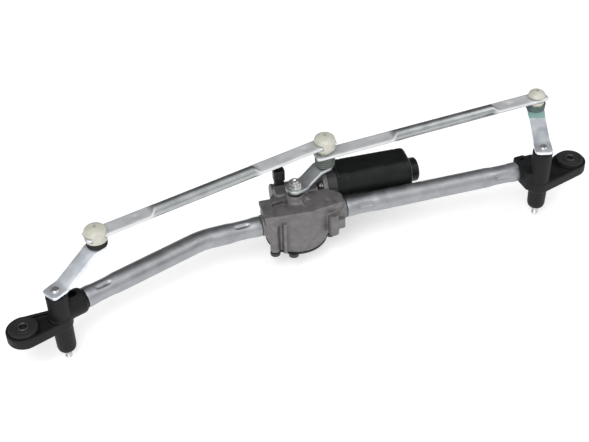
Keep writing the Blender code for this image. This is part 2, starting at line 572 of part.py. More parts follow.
def add_motor(frame, armature):
    at_axis = GEARBOX @ Matrix.Translation((0, GEAR_CENTRES, WORM_Z))
    inner_r, inner_h = CAN_R - CAN_WALL, CAN_HALF_HEIGHT - CAN_WALL
    rim = [(CAN_START, 0.6, 3.0), (CAN_START + 2.2, 0.6, 3.0), (CAN_START + 2.2, 0.0, 0.0),
           (CAN_END - 4, 0.0, 0.0), (CAN_END, -4.0, -4.0)]
    skin = [can_section(CAN_R + wide, CAN_HALF_HEIGHT + tall, x) for x, wide, tall in rim]
    yoke = loft(skin)
    yoke = joined(yoke, placed(lathe([(0, 144), (15, 144), (15, 163), (13, 166), (0, 166)], 24), MOTOR_SPIN))
    hollow = loft([can_section(inner_r, inner_h, x) for x in (CAN_START - 5, CAN_END - 6)])
    yoke = cut(yoke, hollow, placed(rod_between(13.2, 136, 164), MOTOR_SPIN))
    add_piece("motor_yoke", placed(yoke, at_axis), "black_paint", frame)

    holder = loft([can_section(CAN_R, CAN_HALF_HEIGHT, x) for x in (FLANGE_X + FLANGE_T + GAP, 56)])
    room = loft([can_section(25, 19.5, x) for x in (40, 53)])
    holder = cut(holder, room, placed(rod_between(6, 40, 60), MOTOR_SPIN))
    for name, y in (("front", -1), ("rear", 1)):
        case = box((55, 70), sorted((y * 10.5, y * 22)), (-5, 5))
        slot = box((61.5, 68.5), sorted((y * 5, y * 20)), (-3.3, 3.3))
        holder = cut(joined(holder, case), slot)
        brush = box((61.8, 68.2), sorted((y * 9.3, y * 17)), (-3, 3))
        add_piece(f"brush_{name}", placed(brush, at_axis), "carbon", frame)
        steps = [math.radians(-44 + 11 * k) for k in range(9)]
        facing = 0.0 if y > 0 else math.pi
        arc = [(23.7, t) for t in steps] + [(18.4, t) for t in steps[::-1]]
        points = [(r * math.cos(t + facing), r * math.sin(t + facing)) for r, t in arc]
        magnet = loft([[(x, a, b) for a, b in points] for x in (80, 128)])
        add_piece(f"magnet_{name}", placed(magnet, at_axis), "ferrite", frame)
    add_piece("brush_holder", placed(holder, at_axis), "black_plastic", frame)

    for number, (y, z) in enumerate(MOTOR_SCREWS, 1):
        screw = lathe([(0, 33.5), (3.2, 33.5), (4.6, 34.6), (4.6, 37.6), (2.4, 37.6), (2.4, 44), (0, 44)], 12)
        shift = MOTOR_SPIN @ Matrix.Translation((-z, y, 0))
        add_piece(f"motor_screw_{number}", placed(screw, at_axis @ shift), "steel", frame)
    for name, outer, x0, x1 in (("front", 6.2, 29, 37), ("rear", 12.9, 155.5, 163.5)):
        add_piece(f"{name}_bearing", placed(ring(3.3, outer, x0, x1), at_axis @ MOTOR_SPIN), "bronze", frame)

    sides, quarter_pitches = 10, 28
    step = WORM_PITCH / 4
    start = -step * quarter_pitches / 2
    rings = [round_worm(x, 3.0, sides) for x in (-20.0, start - 0.8)]
    for k in range(quarter_pitches + 1):
        rings.append(round_worm(start + step * k, WORM_R, sides, math.pi * k / 2))
    rings += [round_worm(x, 3.0, sides) for x in (-start + 0.8, 163.0)]
    add_piece("armature_shaft", placed(loft(rings), at_axis), "steel", armature)
    slots, outline = 10, []
    for k in range(slots):
        for share, r in ((0.1, 17.0), (0.42, 17.4), (0.58, 17.4), (0.9, 17.0), (0.93, 8.5), (1.07, 8.5)):
            t = 2 * math.pi * (k + share) / slots
            outline.append((r * math.cos(t), r * math.sin(t)))
    core = cut(prism(outline, 84, 124), rod_between(3.3, 60, 140, 12))
    add_piece("armature_core", placed(core, at_axis @ MOTOR_SPIN), "iron", armature)
    for name, x0, x1 in (("front", 74, 83.6), ("rear", 124.4, 134)):
        coil = lathe([(3.4, x0 + 2), (9, x0), (14, x0 + 2), (16, (x0 + x1) / 2), (15, x1), (3.4, x1)], 20)
        add_piece(f"winding_{name}", placed(coil, at_axis @ MOTOR_SPIN), "copper", armature)
    add_piece("commutator", placed(ring(3.3, 9.0, 60, 71.5), at_axis @ MOTOR_SPIN), "copper", armature)


def round_worm(x, radius, sides, lead=None):
    """Section of the worm shaft at x: round, or with one thread ridge at the lead angle."""
    points = []
    for k in range(sides):
        t = 2 * math.pi * k / sides
        r = radius
        if lead is not None:
            r = 3.6 + (radius - 3.6) * max(0.0, math.cos(t - lead)) ** 0.7
        points.append((x, r * math.cos(t), r * math.sin(t)))
    return points


def add_crank(crank):
    outline = []
    for k in range(WHEEL_TEETH):
        for share, r in ((0.0, WHEEL_R - 2.0), (0.35, WHEEL_R), (0.65, WHEEL_R)):
            t = 2 * math.pi * (k + share) / WHEEL_TEETH
            outline.append((r * math.cos(t), r * math.sin(t)))
    wheel = joined(prism(outline, WORM_Z - 6, WORM_Z + 6), rod_between(12, -20, 0))
    wheel = cut(wheel, rod_between(6.3, -40, 40))
    add_piece("worm_wheel", placed(wheel, GEARBOX), "gear_plastic", crank)
    shaft = lathe([(0, -27), (5.2, -27), (6, -26), (6, 37.4), (4.8, 37.4), (4.8, 46), (4.2, 46.6), (1.6, 46.6),
                   (0, 44.8)])
    add_piece("output_shaft", placed(shaft, GEARBOX), "steel", crank)
    at = Matrix.Translation((*SHAFT_XY, 0)) @ Matrix.Rotation(math.radians(CRANK_ANGLE), 4, "Z")
    arm = bent_strip(CRANK_RADIUS, 11.5, 10.5, 33.0, 46.0, (12.0, 33.5), 4.4)
    pin_hole = placed(rod_between(4.3, 20, 80), Matrix.Translation((CRANK_RADIUS, 0, 0)))
    arm = cut(arm, rod_between(6.3, 20, 60), pin_hole)
    add_piece("crank_arm", placed(arm, at), "zinc", crank)
    nut = cut(lathe([(0, 37.8), (8.6, 37.8), (8.6, 44), (7.8, 44.8), (0, 44.8)], 6), rod_between(5.1, 30, 50))
    add_piece("crank_nut", placed(nut, GEARBOX), "steel", crank)
    low_ball, high_ball = RIGHT_ROD_Z - BALL_DROP, LEFT_ROD_Z - BALL_DROP
    outline = [(0, 43.4), (6.5, 43.4), (6.5, 45.6), (4.0, 45.6), (4.0, 50.8), (8.4, 50.8), (8.4, 52.8),
               (4.2, 52.8)]
    outline += sphere_arc(BALL_R, low_ball, low_ball - 4.9, low_ball + 5.0)
    outline += sphere_arc(BALL_R, high_ball, high_ball - 5.1, high_ball + 6.1)
    outline += [(0, high_ball + 6.1)]
    stud = placed(lathe(outline), at @ Matrix.Translation((CRANK_RADIUS, 0, 0)))
    add_piece("crank_ball_stud", stud, "steel", crank)


def add_links(pin, balls, axes):
    for side, inner_z in (("left", LEFT_ROD_Z), ("right", RIGHT_ROD_Z)):
        x, y = balls[side]
        flats = (88.0, 63.0) if side == "left" else (84.0, 55.0)
        start, end = (*pin, inner_z), (x, y, LEVER_ROD_Z)
        holes = [(start, SOCKET_NECK + GAP), (end, SOCKET_NECK + GAP)]
        add_piece(f"{side}_rod", rod(start, end, *flats, holes), "zinc", axes[side])
        cap = (13.0, 11.5) if side == "left" else (10.8, 10.8)
        heading = math.atan2(y - pin[1], x - pin[0])
        add_piece(f"{side}_outer_socket", socket(x, y, LEVER_ROD_Z, *cap, heading), "ivory", axes[side])
        tab_top = LEVER_TAB_Z + LEVER_THICK
        stud = ball_stud(x, y, LEVER_ROD_Z - BALL_DROP, tab_top + GAP)
        add_piece(f"{side}_ball_stud", stud, "steel", axes[side])
        seal = boot(x, y, tab_top + 0.6, LEVER_ROD_Z + SKIRT_Z - GAP, 10.3, 10.6)
        add_piece(f"{side}_boot", seal, "rubber", axes[side])
        if side == "left":
            inner = socket(*pin, LEFT_ROD_Z, *cap, heading)
            add_piece("left_inner_socket", inner, "ivory", axes[side])
    add_piece("right_inner_socket", ring_socket(*pin, RIGHT_ROD_Z), "ivory", axes["right"])
    seal = boot(*pin, 51.2, RIGHT_ROD_Z - 3.6, 10.3, 10.6)
    add_piece("crank_boot", seal, "rubber", axes["right"])


def main():
    for obj in list(bpy.data.objects):
        bpy.data.objects.remove(obj)
    root = add_empty("wiper_assembly", FRAME_SHIFT)

    def axis(name, x=0.0, y=0.0, z=0.0):
        return dict(empty=add_empty(name, (x, y, z), root), at=Vector((x, y, z)))

    frame = axis("frame")
    pin = polar(SHAFT_XY, CRANK_RADIUS, CRANK_ANGLE)
    spindle = {side: (data["x"], 0.0) for side, data in SIDES.items()}
    balls = {"left": meeting_point(spindle["left"], LEFT_LEVER, pin, LEFT_ROD, 1),
             "right": meeting_point(spindle["right"], RIGHT_LEVER, pin, RIGHT_ROD, -1)}
    worm = GEARBOX @ Vector((0, GEAR_CENTRES, WORM_Z))
    add_gearbox(frame)
    add_motor(frame, axis("armature", *worm))
    add_crank(axis("crank", *SHAFT_XY))
    add_links(pin, balls, {side: axis(f"{side}_link", *pin) for side in SIDES})
    for side, data in SIDES.items():
        corners = LEFT_TUBE if side == "left" else RIGHT_TUBE
        shape = tube(corners, LEFT_TUBE_BEND_R if side == "left" else None)
        add_piece(f"{side}_tube", shape, "zinc", frame)
        add_piece(f"{side}_pivot_housing", pivot_housing(side, data, corners), "black_paint", frame)
        lug_fittings(side, data, frame)
        reach = LEFT_LEVER if side == "left" else RIGHT_LEVER
        x, y = balls[side]
        angle = math.degrees(math.atan2(y, x - data["x"]))
        spindle_set(side, data, reach, angle, frame, axis(f"{side}_lever_axis", *spindle[side]))


main()
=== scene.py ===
"""Detailed pieces and procedural materials for a windscreen-wiper linkage, with a studio round it.

Shapes are modelled in millimetres in the linkage's own frame: X from the left spindle to the right
one, Y from the tubes towards the motor, Z up along the spindles, with its origin midway between the
spindles at the height of the tubes' axes. write() moves them to the frame's origin, in metres.
"""
import json
import math

import bmesh
import bpy
from mathutils import Matrix, Vector


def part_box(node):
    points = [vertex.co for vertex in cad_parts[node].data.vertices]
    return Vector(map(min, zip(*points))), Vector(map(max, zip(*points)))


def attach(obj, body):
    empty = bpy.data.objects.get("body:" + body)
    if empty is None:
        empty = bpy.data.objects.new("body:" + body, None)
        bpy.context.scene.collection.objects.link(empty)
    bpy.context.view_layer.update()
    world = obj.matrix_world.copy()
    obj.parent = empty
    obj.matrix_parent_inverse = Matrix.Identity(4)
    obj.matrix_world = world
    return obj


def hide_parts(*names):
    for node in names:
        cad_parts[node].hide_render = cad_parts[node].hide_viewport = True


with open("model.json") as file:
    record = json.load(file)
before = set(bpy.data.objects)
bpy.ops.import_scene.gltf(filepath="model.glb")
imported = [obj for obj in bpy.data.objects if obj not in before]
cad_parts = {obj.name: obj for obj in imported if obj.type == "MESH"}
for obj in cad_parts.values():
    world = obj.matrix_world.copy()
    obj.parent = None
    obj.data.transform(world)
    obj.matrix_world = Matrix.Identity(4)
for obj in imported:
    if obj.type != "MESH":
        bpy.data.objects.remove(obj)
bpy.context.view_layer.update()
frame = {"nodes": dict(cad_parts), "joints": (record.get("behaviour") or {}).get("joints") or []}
MM = 0.001
JOINTS = {joint["name"]: joint for joint in frame["joints"]}
ORIGIN = (Vector(JOINTS["left_spindle_turn"]["pos_m"]) + Vector(JOINTS["right_spindle_turn"]["pos_m"])) / 2


def local(point):
    return (Vector(point) - ORIGIN) / MM


def span(node):
    """Lowest and highest corner of a CAD node, in millimetres."""
    low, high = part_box(node)
    return local(low), local(high)


def middle(node):
    low, high = span(node)
    return (low + high) / 2


# ---- places read from the frame ---------------------------------------------------------------

SPINDLES = {side: local(JOINTS[f"{side}_spindle_turn"]["pos_m"]) for side in ("left", "right")}
BALLS = {side: middle(f"{side}_ball_stud") for side in SPINDLES}
LUGS = {side: middle(f"{side}_sleeve") for side in SPINDLES}
LUG_Z = LUGS["left"].z
SHAFT = local(JOINTS["crank_spin"]["pos_m"])
PIN = local(JOINTS["left_link_pivot"]["pos_m"])
WORM = local(JOINTS["armature_spin"]["pos_m"])
MOTOR_WAY = Vector(JOINTS["armature_spin"]["axis"])
YAW = Matrix.Rotation(math.atan2(MOTOR_WAY.y, MOTOR_WAY.x), 4, "Z")
GEARBOX = Matrix.Translation((SHAFT.x, SHAFT.y, 0)) @ YAW
AT_MOTOR = Matrix.Translation(WORM) @ YAW
WORM_ROW = (GEARBOX.inverted() @ WORM).y      # the worm's distance from the output shaft
TURN_Z_TO_X = Matrix.Rotation(math.pi / 2, 4, "Y")

# ---- sizes of the CAD part, in millimetres ------------------------------------------------------

TUBE_R = (span("right_tube")[1].z - span("right_tube")[0].z) / 2
TUBE_WALL = 1.5
LEFT_TUBE = [(-271.5, 14.6), (-120.0, 55.5), (-48.0, 52.4)]      # corners of the bent tube's axis
RIGHT_TUBE = [(283.7, 23.5), (60.0, 44.1)]
LEFT_TUBE_BEND_R = 90.0
BALL_R, BALL_DROP = 6.5, 6.5
ROD_R, ROD_FLAT_W, ROD_FLAT_T, ROD_WALL = 7.3, 20.0, 5.0, 1.3
ROD_PRESS = 9.0                  # length over which a rod goes from flat to round
ROD_TAIL = 12.7                  # how far a rod reaches past its outer ball
SOCKET_NECK = 7.2
ROD_Z = {"left": 82.0, "right": 65.0, "lever": 72.0}
LEVER_THICK, LEVER_TAB_Z = 3.5, 54.0
SPINDLE_R, BORE_R = 5.0, 7.0
LUG_R, LUG_HALF = 19.8, 6.5      # the radius is a little under the CAD lug's, to stay inside it
DECK_TOP, BOWL_BOTTOM, BOWL_R, CAVITY_TOP = 20.0, -34.0, 38.0, 12.0
DECK_OUTLINE = [(-44, -28), (-20, -30), (12, -30.5), (53, -23), (56, -8),
                (49, 1.5), (37, 8), (-28, 7), (-44, 7)]
COVER_SCREWS = [(-33.0, -26.0), (26.0, 32.0), (40.5, -9.0)]
COVER_FOOT = (-12.0, -34.0)
EAR = (40.0, -28.0)
TUNNEL_END, FLANGE_X, FLANGE_T = -23.0, 38.0, 6.5
CAN_START, CAN_END, CAN_R, CAN_HALF_HEIGHT, CAN_WALL = 56.3, 152.0, 27.4, 24.2, 1.8
CAN_LIFT = 2.2                   # the can's middle lies this far above the armature's axis
MOTOR_SCREWS = [(-18.5, 15.0), (15.0, -19.5)]
TOWER = dict(x=(-19.0, -5.0), y=(28.0, 39.0), z=(17.4, 40.0))
CRANK_TAB_Z = 46.0                    # underside of the crank's raised end
CRANK_RADIUS = (PIN.xy - SHAFT.xy).length
CRANK = Matrix.Translation((SHAFT.x, SHAFT.y, 0)) @ Matrix.Rotation(
    math.atan2(PIN.y - SHAFT.y, PIN.x - SHAFT.x), 4, "Z")


# ---- shapes: every function here returns a bmesh in millimetres ---------------------------------

def close_up(bm):
    bmesh.ops.remove_doubles(bm, verts=bm.verts[:], dist=1e-4)
    bmesh.ops.recalc_face_normals(bm, faces=bm.faces[:])
    return bm


def placed(bm, matrix):
    bmesh.ops.transform(bm, matrix=matrix, verts=bm.verts[:])
    return bm


def moved(bm, x, y, z=0.0):
    return placed(bm, Matrix.Translation((x, y, z)))


def loft(rings, caps=True):
    """Skin over rings of points; caps fill the first and last ring."""
    bm = bmesh.new()
    loops = [[bm.verts.new(p) for p in ring] for ring in rings]
    count = len(loops[0])
    for a, b in zip(loops, loops[1:]):
        for i in range(count):
            j = (i + 1) % count
            bm.faces.new((a[i], a[j], b[j], b[i]))
    if caps:
        bm.faces.new(loops[0][::-1])
        bm.faces.new(loops[-1])
    return close_up(bm)


def shell_loft(outer, inner):
    """Open-ended hollow: an outer and an inner skin, joined by a rim at each end."""
    return loft(outer + inner[::-1] + outer[:1], caps=False)


def around(count):
    """Angles of equal steps round a full turn."""
    return [2 * math.pi * k / count for k in range(count)]


def lathe(outline, segments=48):
    """Turn a closed (radius, height) outline round Z; radius 0 points lie on the axis."""
    bm = bmesh.new()
    rings = []
    for r, z in outline:
        if r < 1e-6:
            rings.append([bm.verts.new((0, 0, z))])
            continue
        rings.append([bm.verts.new((r * math.cos(t), r * math.sin(t), z)) for t in around(segments)])
    for a, b in zip(rings, rings[1:] + rings[:1]):
        if len(a) == 1 and len(b) == 1:
            continue
        for i in range(segments):
            j = (i + 1) % segments
            corners = [a[i % len(a)], a[j % len(a)], b[j % len(b)], b[i % len(b)]]
            bm.faces.new(list(dict.fromkeys(corners)))
    return close_up(bm)


def turned(stations, segments=48):
    """Solid round Z over (height, radius) stations; a radius may be a function of the angle."""
    rings = []
    for z, radius in stations:
        ring = []
        for t in around(segments):
            r = radius(t) if callable(radius) else radius
            ring.append((r * math.cos(t), r * math.sin(t), z))
        rings.append(ring)
    return loft(rings)


def rod_between(radius, z0, z1, segments=40):
    return lathe([(0, z0), (radius, z0), (radius, z1), (0, z1)], segments)


def ring(inner, outer, z0, z1, edge=0.3, segments=48):
    """Flat ring with chamfered edges."""
    return lathe([(inner, z0 + edge), (inner + edge, z0), (outer - edge, z0), (outer, z0 + edge),
                  (outer, z1 - edge), (outer - edge, z1), (inner + edge, z1), (inner, z1 - edge)], segments)


def prism(outline, z0, z1):
    return loft([[(x, y, z) for x, y in outline] for z in (z0, z1)])


def box(x, y, z):
    return prism([(x[0], y[0]), (x[1], y[0]), (x[1], y[1]), (x[0], y[1])], *z)


def rounded_box(x, y, z, radius, steps=5):
    """Upright block with rounded vertical corners."""
    outline = []
    corners = ((x[1], y[1], 0), (x[0], y[1], 90), (x[0], y[0], 180), (x[1], y[0], 270))
    for cx, cy, start in corners:
        cx -= radius if cx == x[1] else -radius
        cy -= radius if cy == y[1] else -radius
        for k in range(steps + 1):
            t = math.radians(start + 90 * k / steps)
            outline.append((cx + radius * math.cos(t), cy + radius * math.sin(t)))
    return prism(outline, *z)


def evaluated(obj):
    """The object's mesh with its modifiers, as a bmesh; the object is used up."""
    bpy.context.view_layer.update()
    graph = bpy.context.evaluated_depsgraph_get()
    result = bmesh.new()
    result.from_mesh(obj.evaluated_get(graph).to_mesh())
    obj.evaluated_get(graph).to_mesh_clear()
    discard(obj)
    return result


def as_object(bm, name="shape"):
    mesh = bpy.data.meshes.new(name)
    bm.to_mesh(mesh)
    bm.free()
    obj = bpy.data.objects.new(name, mesh)
    bpy.context.scene.collection.objects.link(obj)
    return obj


def discard(obj):
    mesh = obj.data
    bpy.data.objects.remove(obj)
    bpy.data.meshes.remove(mesh)


def boolean(base, tool, operation):
    base, tool = as_object(base), as_object(tool)
    modifier = base.modifiers.new("combine", "BOOLEAN")
    modifier.operation = operation
    modifier.solver = "EXACT"
    modifier.object = tool
    result = evaluated(base)
    discard(tool)
    bmesh.ops.remove_doubles(result, verts=result.verts[:], dist=1e-4)
    bmesh.ops.dissolve_degenerate(result, edges=result.edges[:], dist=1e-4)
    return result


def joined(base, *shapes):
    for shape in shapes:
        base = boolean(base, shape, "UNION")
    return base


def cut(base, *tools):
    for tool in tools:
        base = boolean(base, tool, "DIFFERENCE")
    return base


def soften(bm, width, segments=2, limit=30.0):
    """Round every edge that turns by more than limit degrees."""
    edges = [e for e in bm.edges if e.is_manifold and e.calc_face_angle(0.0) > math.radians(limit)]
    bmesh.ops.bevel(bm, geom=edges, offset=width, segments=segments, profile=0.5, affect="EDGES",
                    clamp_overlap=True)
    return close_up(bm)


def as_cast(bm, voxel, passes=5, keep=0.45):
    """Melt hard edges into the small fillets of a casting, then drop the flat areas' extra faces."""
    obj = as_object(bm)
    remesh = obj.modifiers.new("voxels", "REMESH")
    remesh.mode = "VOXEL"
    remesh.voxel_size = voxel
    smooth = obj.modifiers.new("fillets", "SMOOTH")
    smooth.factor, smooth.iterations = 0.5, passes
    thin = obj.modifiers.new("thin", "DECIMATE")
    thin.ratio = keep
    return evaluated(obj)


def along(start, end):
    """Frame at start whose Z axis points at end and whose X axis stays level."""
    start, end = Vector(start), Vector(end)
    z = (end - start).normalized()
    x = Vector((-z.y, z.x, 0)).normalized()
    return Matrix.Translation(start) @ Matrix((x, z.cross(x), z)).transposed().to_4x4()


def beam_frame(start, end):
    """Frame at start whose X axis points at end and whose Y axis stays level."""
    start, end = Vector(start), Vector(end)
    x = (end - start).normalized()
    y = Vector((-x.y, x.x, 0)).normalized()
    return Matrix.Translation(start) @ Matrix((x, y, x.cross(y))).transposed().to_4x4()


def two_circle_outline(a, ra, b, rb, steps=20):
    """Outline that wraps two circles."""
    a, b = Vector(a), Vector(b)
    heading = math.atan2(b.y - a.y, b.x - a.x)
    lean = math.acos((ra - rb) / (b - a).length)
    points = []
    for centre, radius, t0, t1 in ((b, rb, -lean, lean), (a, ra, lean, 2 * math.pi - lean)):
        for k in range(steps + 1):
            t = heading + t0 + (t1 - t0) * k / steps
            points.append((centre.x + radius * math.cos(t), centre.y + radius * math.sin(t)))
    return points


def mound(x, width, power=2):
    """1 at x = 0, falling to nothing beyond width; a high power makes the top flat."""
    return math.exp(-abs(x / width) ** power)


def smooth_step(x):
    x = max(0.0, min(1.0, x))
    return x * x * (3 - 2 * x)


def arc_points(centre_r, centre_z, radius, start, end, steps=8):
    """(radius, height) points of an arc in a turned outline, from angle start to end in degrees."""
    turn = [math.radians(start + (end - start) * k / steps) for k in range(steps + 1)]
    return [(max(0.0, centre_r + radius * math.cos(t)), centre_z + radius * math.sin(t)) for t in turn]


def ball_arc(radius, centre, low, high, steps=12):
    t0, t1 = math.asin((low - centre) / radius), math.asin((high - centre) / radius)
    turn = [t0 + (t1 - t0) * k / steps for k in range(steps + 1)]
    return [(radius * math.cos(t), centre + radius * math.sin(t)) for t in turn]


# ---- materials ----------------------------------------------------------------------------------

class Recipe:
    """A Principled material and short ways to add the nodes that feed it."""

    def __init__(self, name, metallic=0.0, **constants):
        self.material = bpy.data.materials.new(name)
        self.material.use_nodes = True
        self.tree = self.material.node_tree
        self.shader = self.tree.nodes["Principled BSDF"]
        self.shader.inputs["Metallic"].default_value = metallic
        for socket, value in constants.items():
            self.shader.inputs[socket.replace("_", " ")].default_value = value
        self.place = self.add("TexCoord").outputs["Object"]

    def add(self, kind, **settings):
        made = self.tree.nodes.new("ShaderNode" + kind)
        for key, value in settings.items():
            setattr(made, key, value)
        return made

    def plug(self, socket, value):
        if isinstance(value, bpy.types.NodeSocket):
            self.tree.links.new(value, socket)
        elif isinstance(value, tuple) and socket.type == "RGBA":
            socket.default_value = (*value, 1.0)
        else:
            socket.default_value = value

    def noise(self, size, detail=3.0, stretch=(1, 1, 1), turn=0.0, rough=0.55):
        """Noise with features about size millimetres wide, stretched and turned about Z."""
        mapping = self.add("Mapping")
        mapping.inputs["Scale"].default_value = stretch
        mapping.inputs["Rotation"].default_value = (0, 0, turn)
        self.tree.links.new(self.place, mapping.inputs["Vector"])
        made = self.add("TexNoise")
        made.inputs["Scale"].default_value = 1 / (size * MM)
        made.inputs["Detail"].default_value = detail
        made.inputs["Roughness"].default_value = rough
        self.tree.links.new(mapping.outputs["Vector"], made.inputs["Vector"])
        return made.outputs["Fac"]

    def ranged(self, source, low, high, to_low=0.0, to_high=1.0):
        made = self.add("MapRange")
        values = (source, low, high, to_low, to_high)
        for socket, value in zip(made.inputs, values):
            self.plug(socket, value)
        return made.outputs["Result"]

    def maths(self, operation, a, b=0.0):
        made = self.add("Math", operation=operation)
        self.plug(made.inputs[0], a)
        self.plug(made.inputs[1], b)
        return made.outputs["Value"]

    def mix(self, factor, a, b):
        made = self.add("Mix", data_type="RGBA")
        for index, value in ((0, factor), (6, a), (7, b)):
            self.plug(made.inputs[index], value)
        return made.outputs[2]

    def edges(self, low=0.52, high=0.6):
        """1 on outer edges, from the mesh's pointiness."""
        return self.ranged(self.add("NewGeometry").outputs["Pointiness"], low, high)

    # 1 in hollows and corners, from the mesh's pointiness; the looks darken colour there as painted shade
    def hollows(self, low=0.42, high=0.49):
        return self.ranged(self.add("NewGeometry").outputs["Pointiness"], low, high, 1.0, 0.0)

    def share(self, name):
        return self.add("Attribute", attribute_name=name).outputs["Fac"]

    def bump(self, height, distance, strength=1.0, under=None):
        made = self.add("Bump")
        made.inputs["Distance"].default_value = distance * MM
        made.inputs["Strength"].default_value = strength
        self.plug(made.inputs["Height"], height)
        if under is not None:
            self.plug(made.inputs["Normal"], under)
        return made.outputs["Normal"]

    def finish(self, colour, roughness, normal=None):
        self.plug(self.shader.inputs["Base Color"], colour)
        self.plug(self.shader.inputs["Roughness"], roughness)
        if normal is not None:
            self.plug(self.shader.inputs["Normal"], normal)
        return self.material


def shade(colour, factor):
    return tuple(min(1.0, channel * factor) for channel in colour)


def drawn_zinc(name, colour, rough=0.34, lines_turn=0.0, pressed=False, paint=None):
    """Zinc plate over drawn or rolled steel: lengthwise lines, cloudy patches and fine specks.

    pressed: the mesh's "pressed" attribute says where the plate was squeezed dull and whitish.
    paint: (attribute name, colour) of a smear of marking paint.
    """
    look = Recipe(name, metallic=1.0)
    cloud = look.noise(16, 4)
    lines = look.noise(0.7, 3, (0.03, 1, 1), lines_turn)
    specks = look.noise(1.1, 5, rough=0.7)
    tone = look.mix(look.ranged(cloud, 0.36, 0.66), shade(colour, 0.84), shade(colour, 1.08))
    tone = look.mix(look.ranged(specks, 0.62, 0.74, 0.0, 0.45), tone, shade(colour, 0.55))
    tone = look.mix(look.ranged(lines, 0.35, 0.7, 0.0, 0.22), tone, shade(colour, 0.7))
    gloss = look.ranged(look.maths("ADD", cloud, lines), 0.7, 1.3, rough - 0.06, rough + 0.1)
    if pressed:
        dull = look.share("pressed")
        whitish = look.mix(look.ranged(cloud, 0.3, 0.7), (0.60, 0.615, 0.625), (0.70, 0.715, 0.73))
        tone = look.mix(dull, tone, whitish)
        gloss = look.maths("ADD", gloss, look.maths("MULTIPLY", dull, 0.2))
        look.plug(look.shader.inputs["Metallic"], look.ranged(dull, 0.0, 1.0, 1.0, 0.55))
    if paint:
        attribute, hue = paint
        ragged = look.maths("ADD", look.share(attribute), look.maths("MULTIPLY", look.noise(2.2, 3), 0.5))
        cover = look.ranged(ragged, 0.72, 0.86)
        tone = look.mix(look.maths("MULTIPLY", cover, 0.82), tone, hue)
        look.plug(look.shader.inputs["Metallic"], look.ranged(cover, 0.0, 1.0, 1.0, 0.25))
    normal = look.bump(lines, 0.03, 0.5)
    normal = look.bump(specks, 0.05, 0.45, normal)
    return look.finish(tone, gloss, normal)


def machined(name, colour, rough=0.26):
    """Bright turned or cold-headed steel, with fine scratches, cloudy patches and painted shade in its
    hollows.
    """
    look = Recipe(name, metallic=1.0)
    patches = look.noise(5, 4)
    scratches = look.noise(0.5, 2, (1, 1, 0.08))
    tone = look.mix(look.ranged(patches, 0.35, 0.68), shade(colour, 0.78), shade(colour, 1.05))
    # painted shade: the steel's colour darkens in its hollows and corners
    tone = look.mix(look.maths("MULTIPLY", look.hollows(), 0.45), tone, shade(colour, 0.35))
    gloss = look.ranged(look.maths("ADD", patches, scratches), 0.7, 1.3, rough - 0.05, rough + 0.14)
    return look.finish(tone, gloss, look.bump(scratches, 0.03, 0.4))


def die_cast(name, colour):
    """Rough cast aluminium: pitted skin, cloudy flow marks, brighter rubbed edges, painted shade in corners.
    """
    look = Recipe(name, metallic=0.55)
    flow = look.noise(11, 5, (1, 0.6, 1.4))
    grain = look.noise(0.55, 4, rough=0.7)
    pits = look.noise(1.6, 6, rough=0.75)
    tone = look.mix(look.ranged(flow, 0.34, 0.68), shade(colour, 0.8), shade(colour, 1.18))
    tone = look.mix(look.ranged(pits, 0.6, 0.75, 0.0, 0.5), tone, shade(colour, 0.6))
    tone = look.mix(look.maths("MULTIPLY", look.edges(), 0.55), tone, shade(colour, 1.8))
    # painted shade: the casting's colour darkens in its hollows and corners
    tone = look.mix(look.maths("MULTIPLY", look.hollows(), 0.55), tone, shade(colour, 0.42))
    gloss = look.ranged(look.maths("ADD", flow, grain), 0.7, 1.3, 0.42, 0.62)
    normal = look.bump(grain, 0.10, 0.6)
    return look.finish(tone, gloss, look.bump(pits, 0.16, 0.45, normal))


def coated_black(name, colour, rough, texture, metallic=0.0, rub=(0.10, 0.10, 0.11)):
    """Satin black coat with an orange-peel skin of the given grain size, dusty and rubbed at edges."""
    look = Recipe(name, metallic=metallic, Specular_IOR_Level=0.22)
    dust = look.noise(14, 4)
    peel = look.noise(texture, 3)
    fine = look.noise(0.4, 3, rough=0.7)
    tone = look.mix(look.ranged(dust, 0.36, 0.7), shade(colour, 0.75), shade(colour, 1.55))
    tone = look.mix(look.maths("MULTIPLY", look.edges(0.53, 0.62), 0.5), tone, rub)
    gloss = look.ranged(look.maths("ADD", dust, fine), 0.7, 1.3, rough - 0.07, rough + 0.12)
    normal = look.bump(peel, 0.09, 0.5)
    return look.finish(tone, gloss, look.bump(fine, 0.03, 0.4, normal))


def moulded(name, colour, rough, grime_and_shade, **constants):
    """Moulded plastic or rubber: slight flow marks, a tint in its corners that is painted shade where darker
    than the plastic and dust where lighter, a fine matt skin.
    """
    look = Recipe(name, Specular_IOR_Level=0.5, **constants)
    flow = look.noise(6, 4)
    fine = look.noise(0.45, 3, rough=0.65)
    tone = look.mix(look.ranged(flow, 0.35, 0.68), shade(colour, 0.9), shade(colour, 1.07))
    # painted shade in hollows where the corner colour is darker than the plastic; on rubber the lighter
    # corner colour is dust
    tone = look.mix(look.maths("MULTIPLY", look.hollows(), 0.6), tone, grime_and_shade)
    gloss = look.ranged(look.maths("ADD", flow, fine), 0.7, 1.3, rough - 0.06, rough + 0.1)
    return look.finish(tone, gloss, look.bump(fine, 0.04, 0.4))


def cloudy_metal(name, colour, rough, tarnish):
    """Plain metal of an inner piece, with patches of tarnish."""
    look = Recipe(name, metallic=1.0)
    patches = look.noise(3, 5)
    fine = look.noise(0.4, 3)
    tone = look.mix(look.ranged(patches, 0.42, 0.68), colour, tarnish)
    gloss = look.ranged(look.maths("ADD", patches, fine), 0.7, 1.3, rough - 0.05, rough + 0.15)
    return look.finish(tone, gloss, look.bump(fine, 0.03, 0.4))


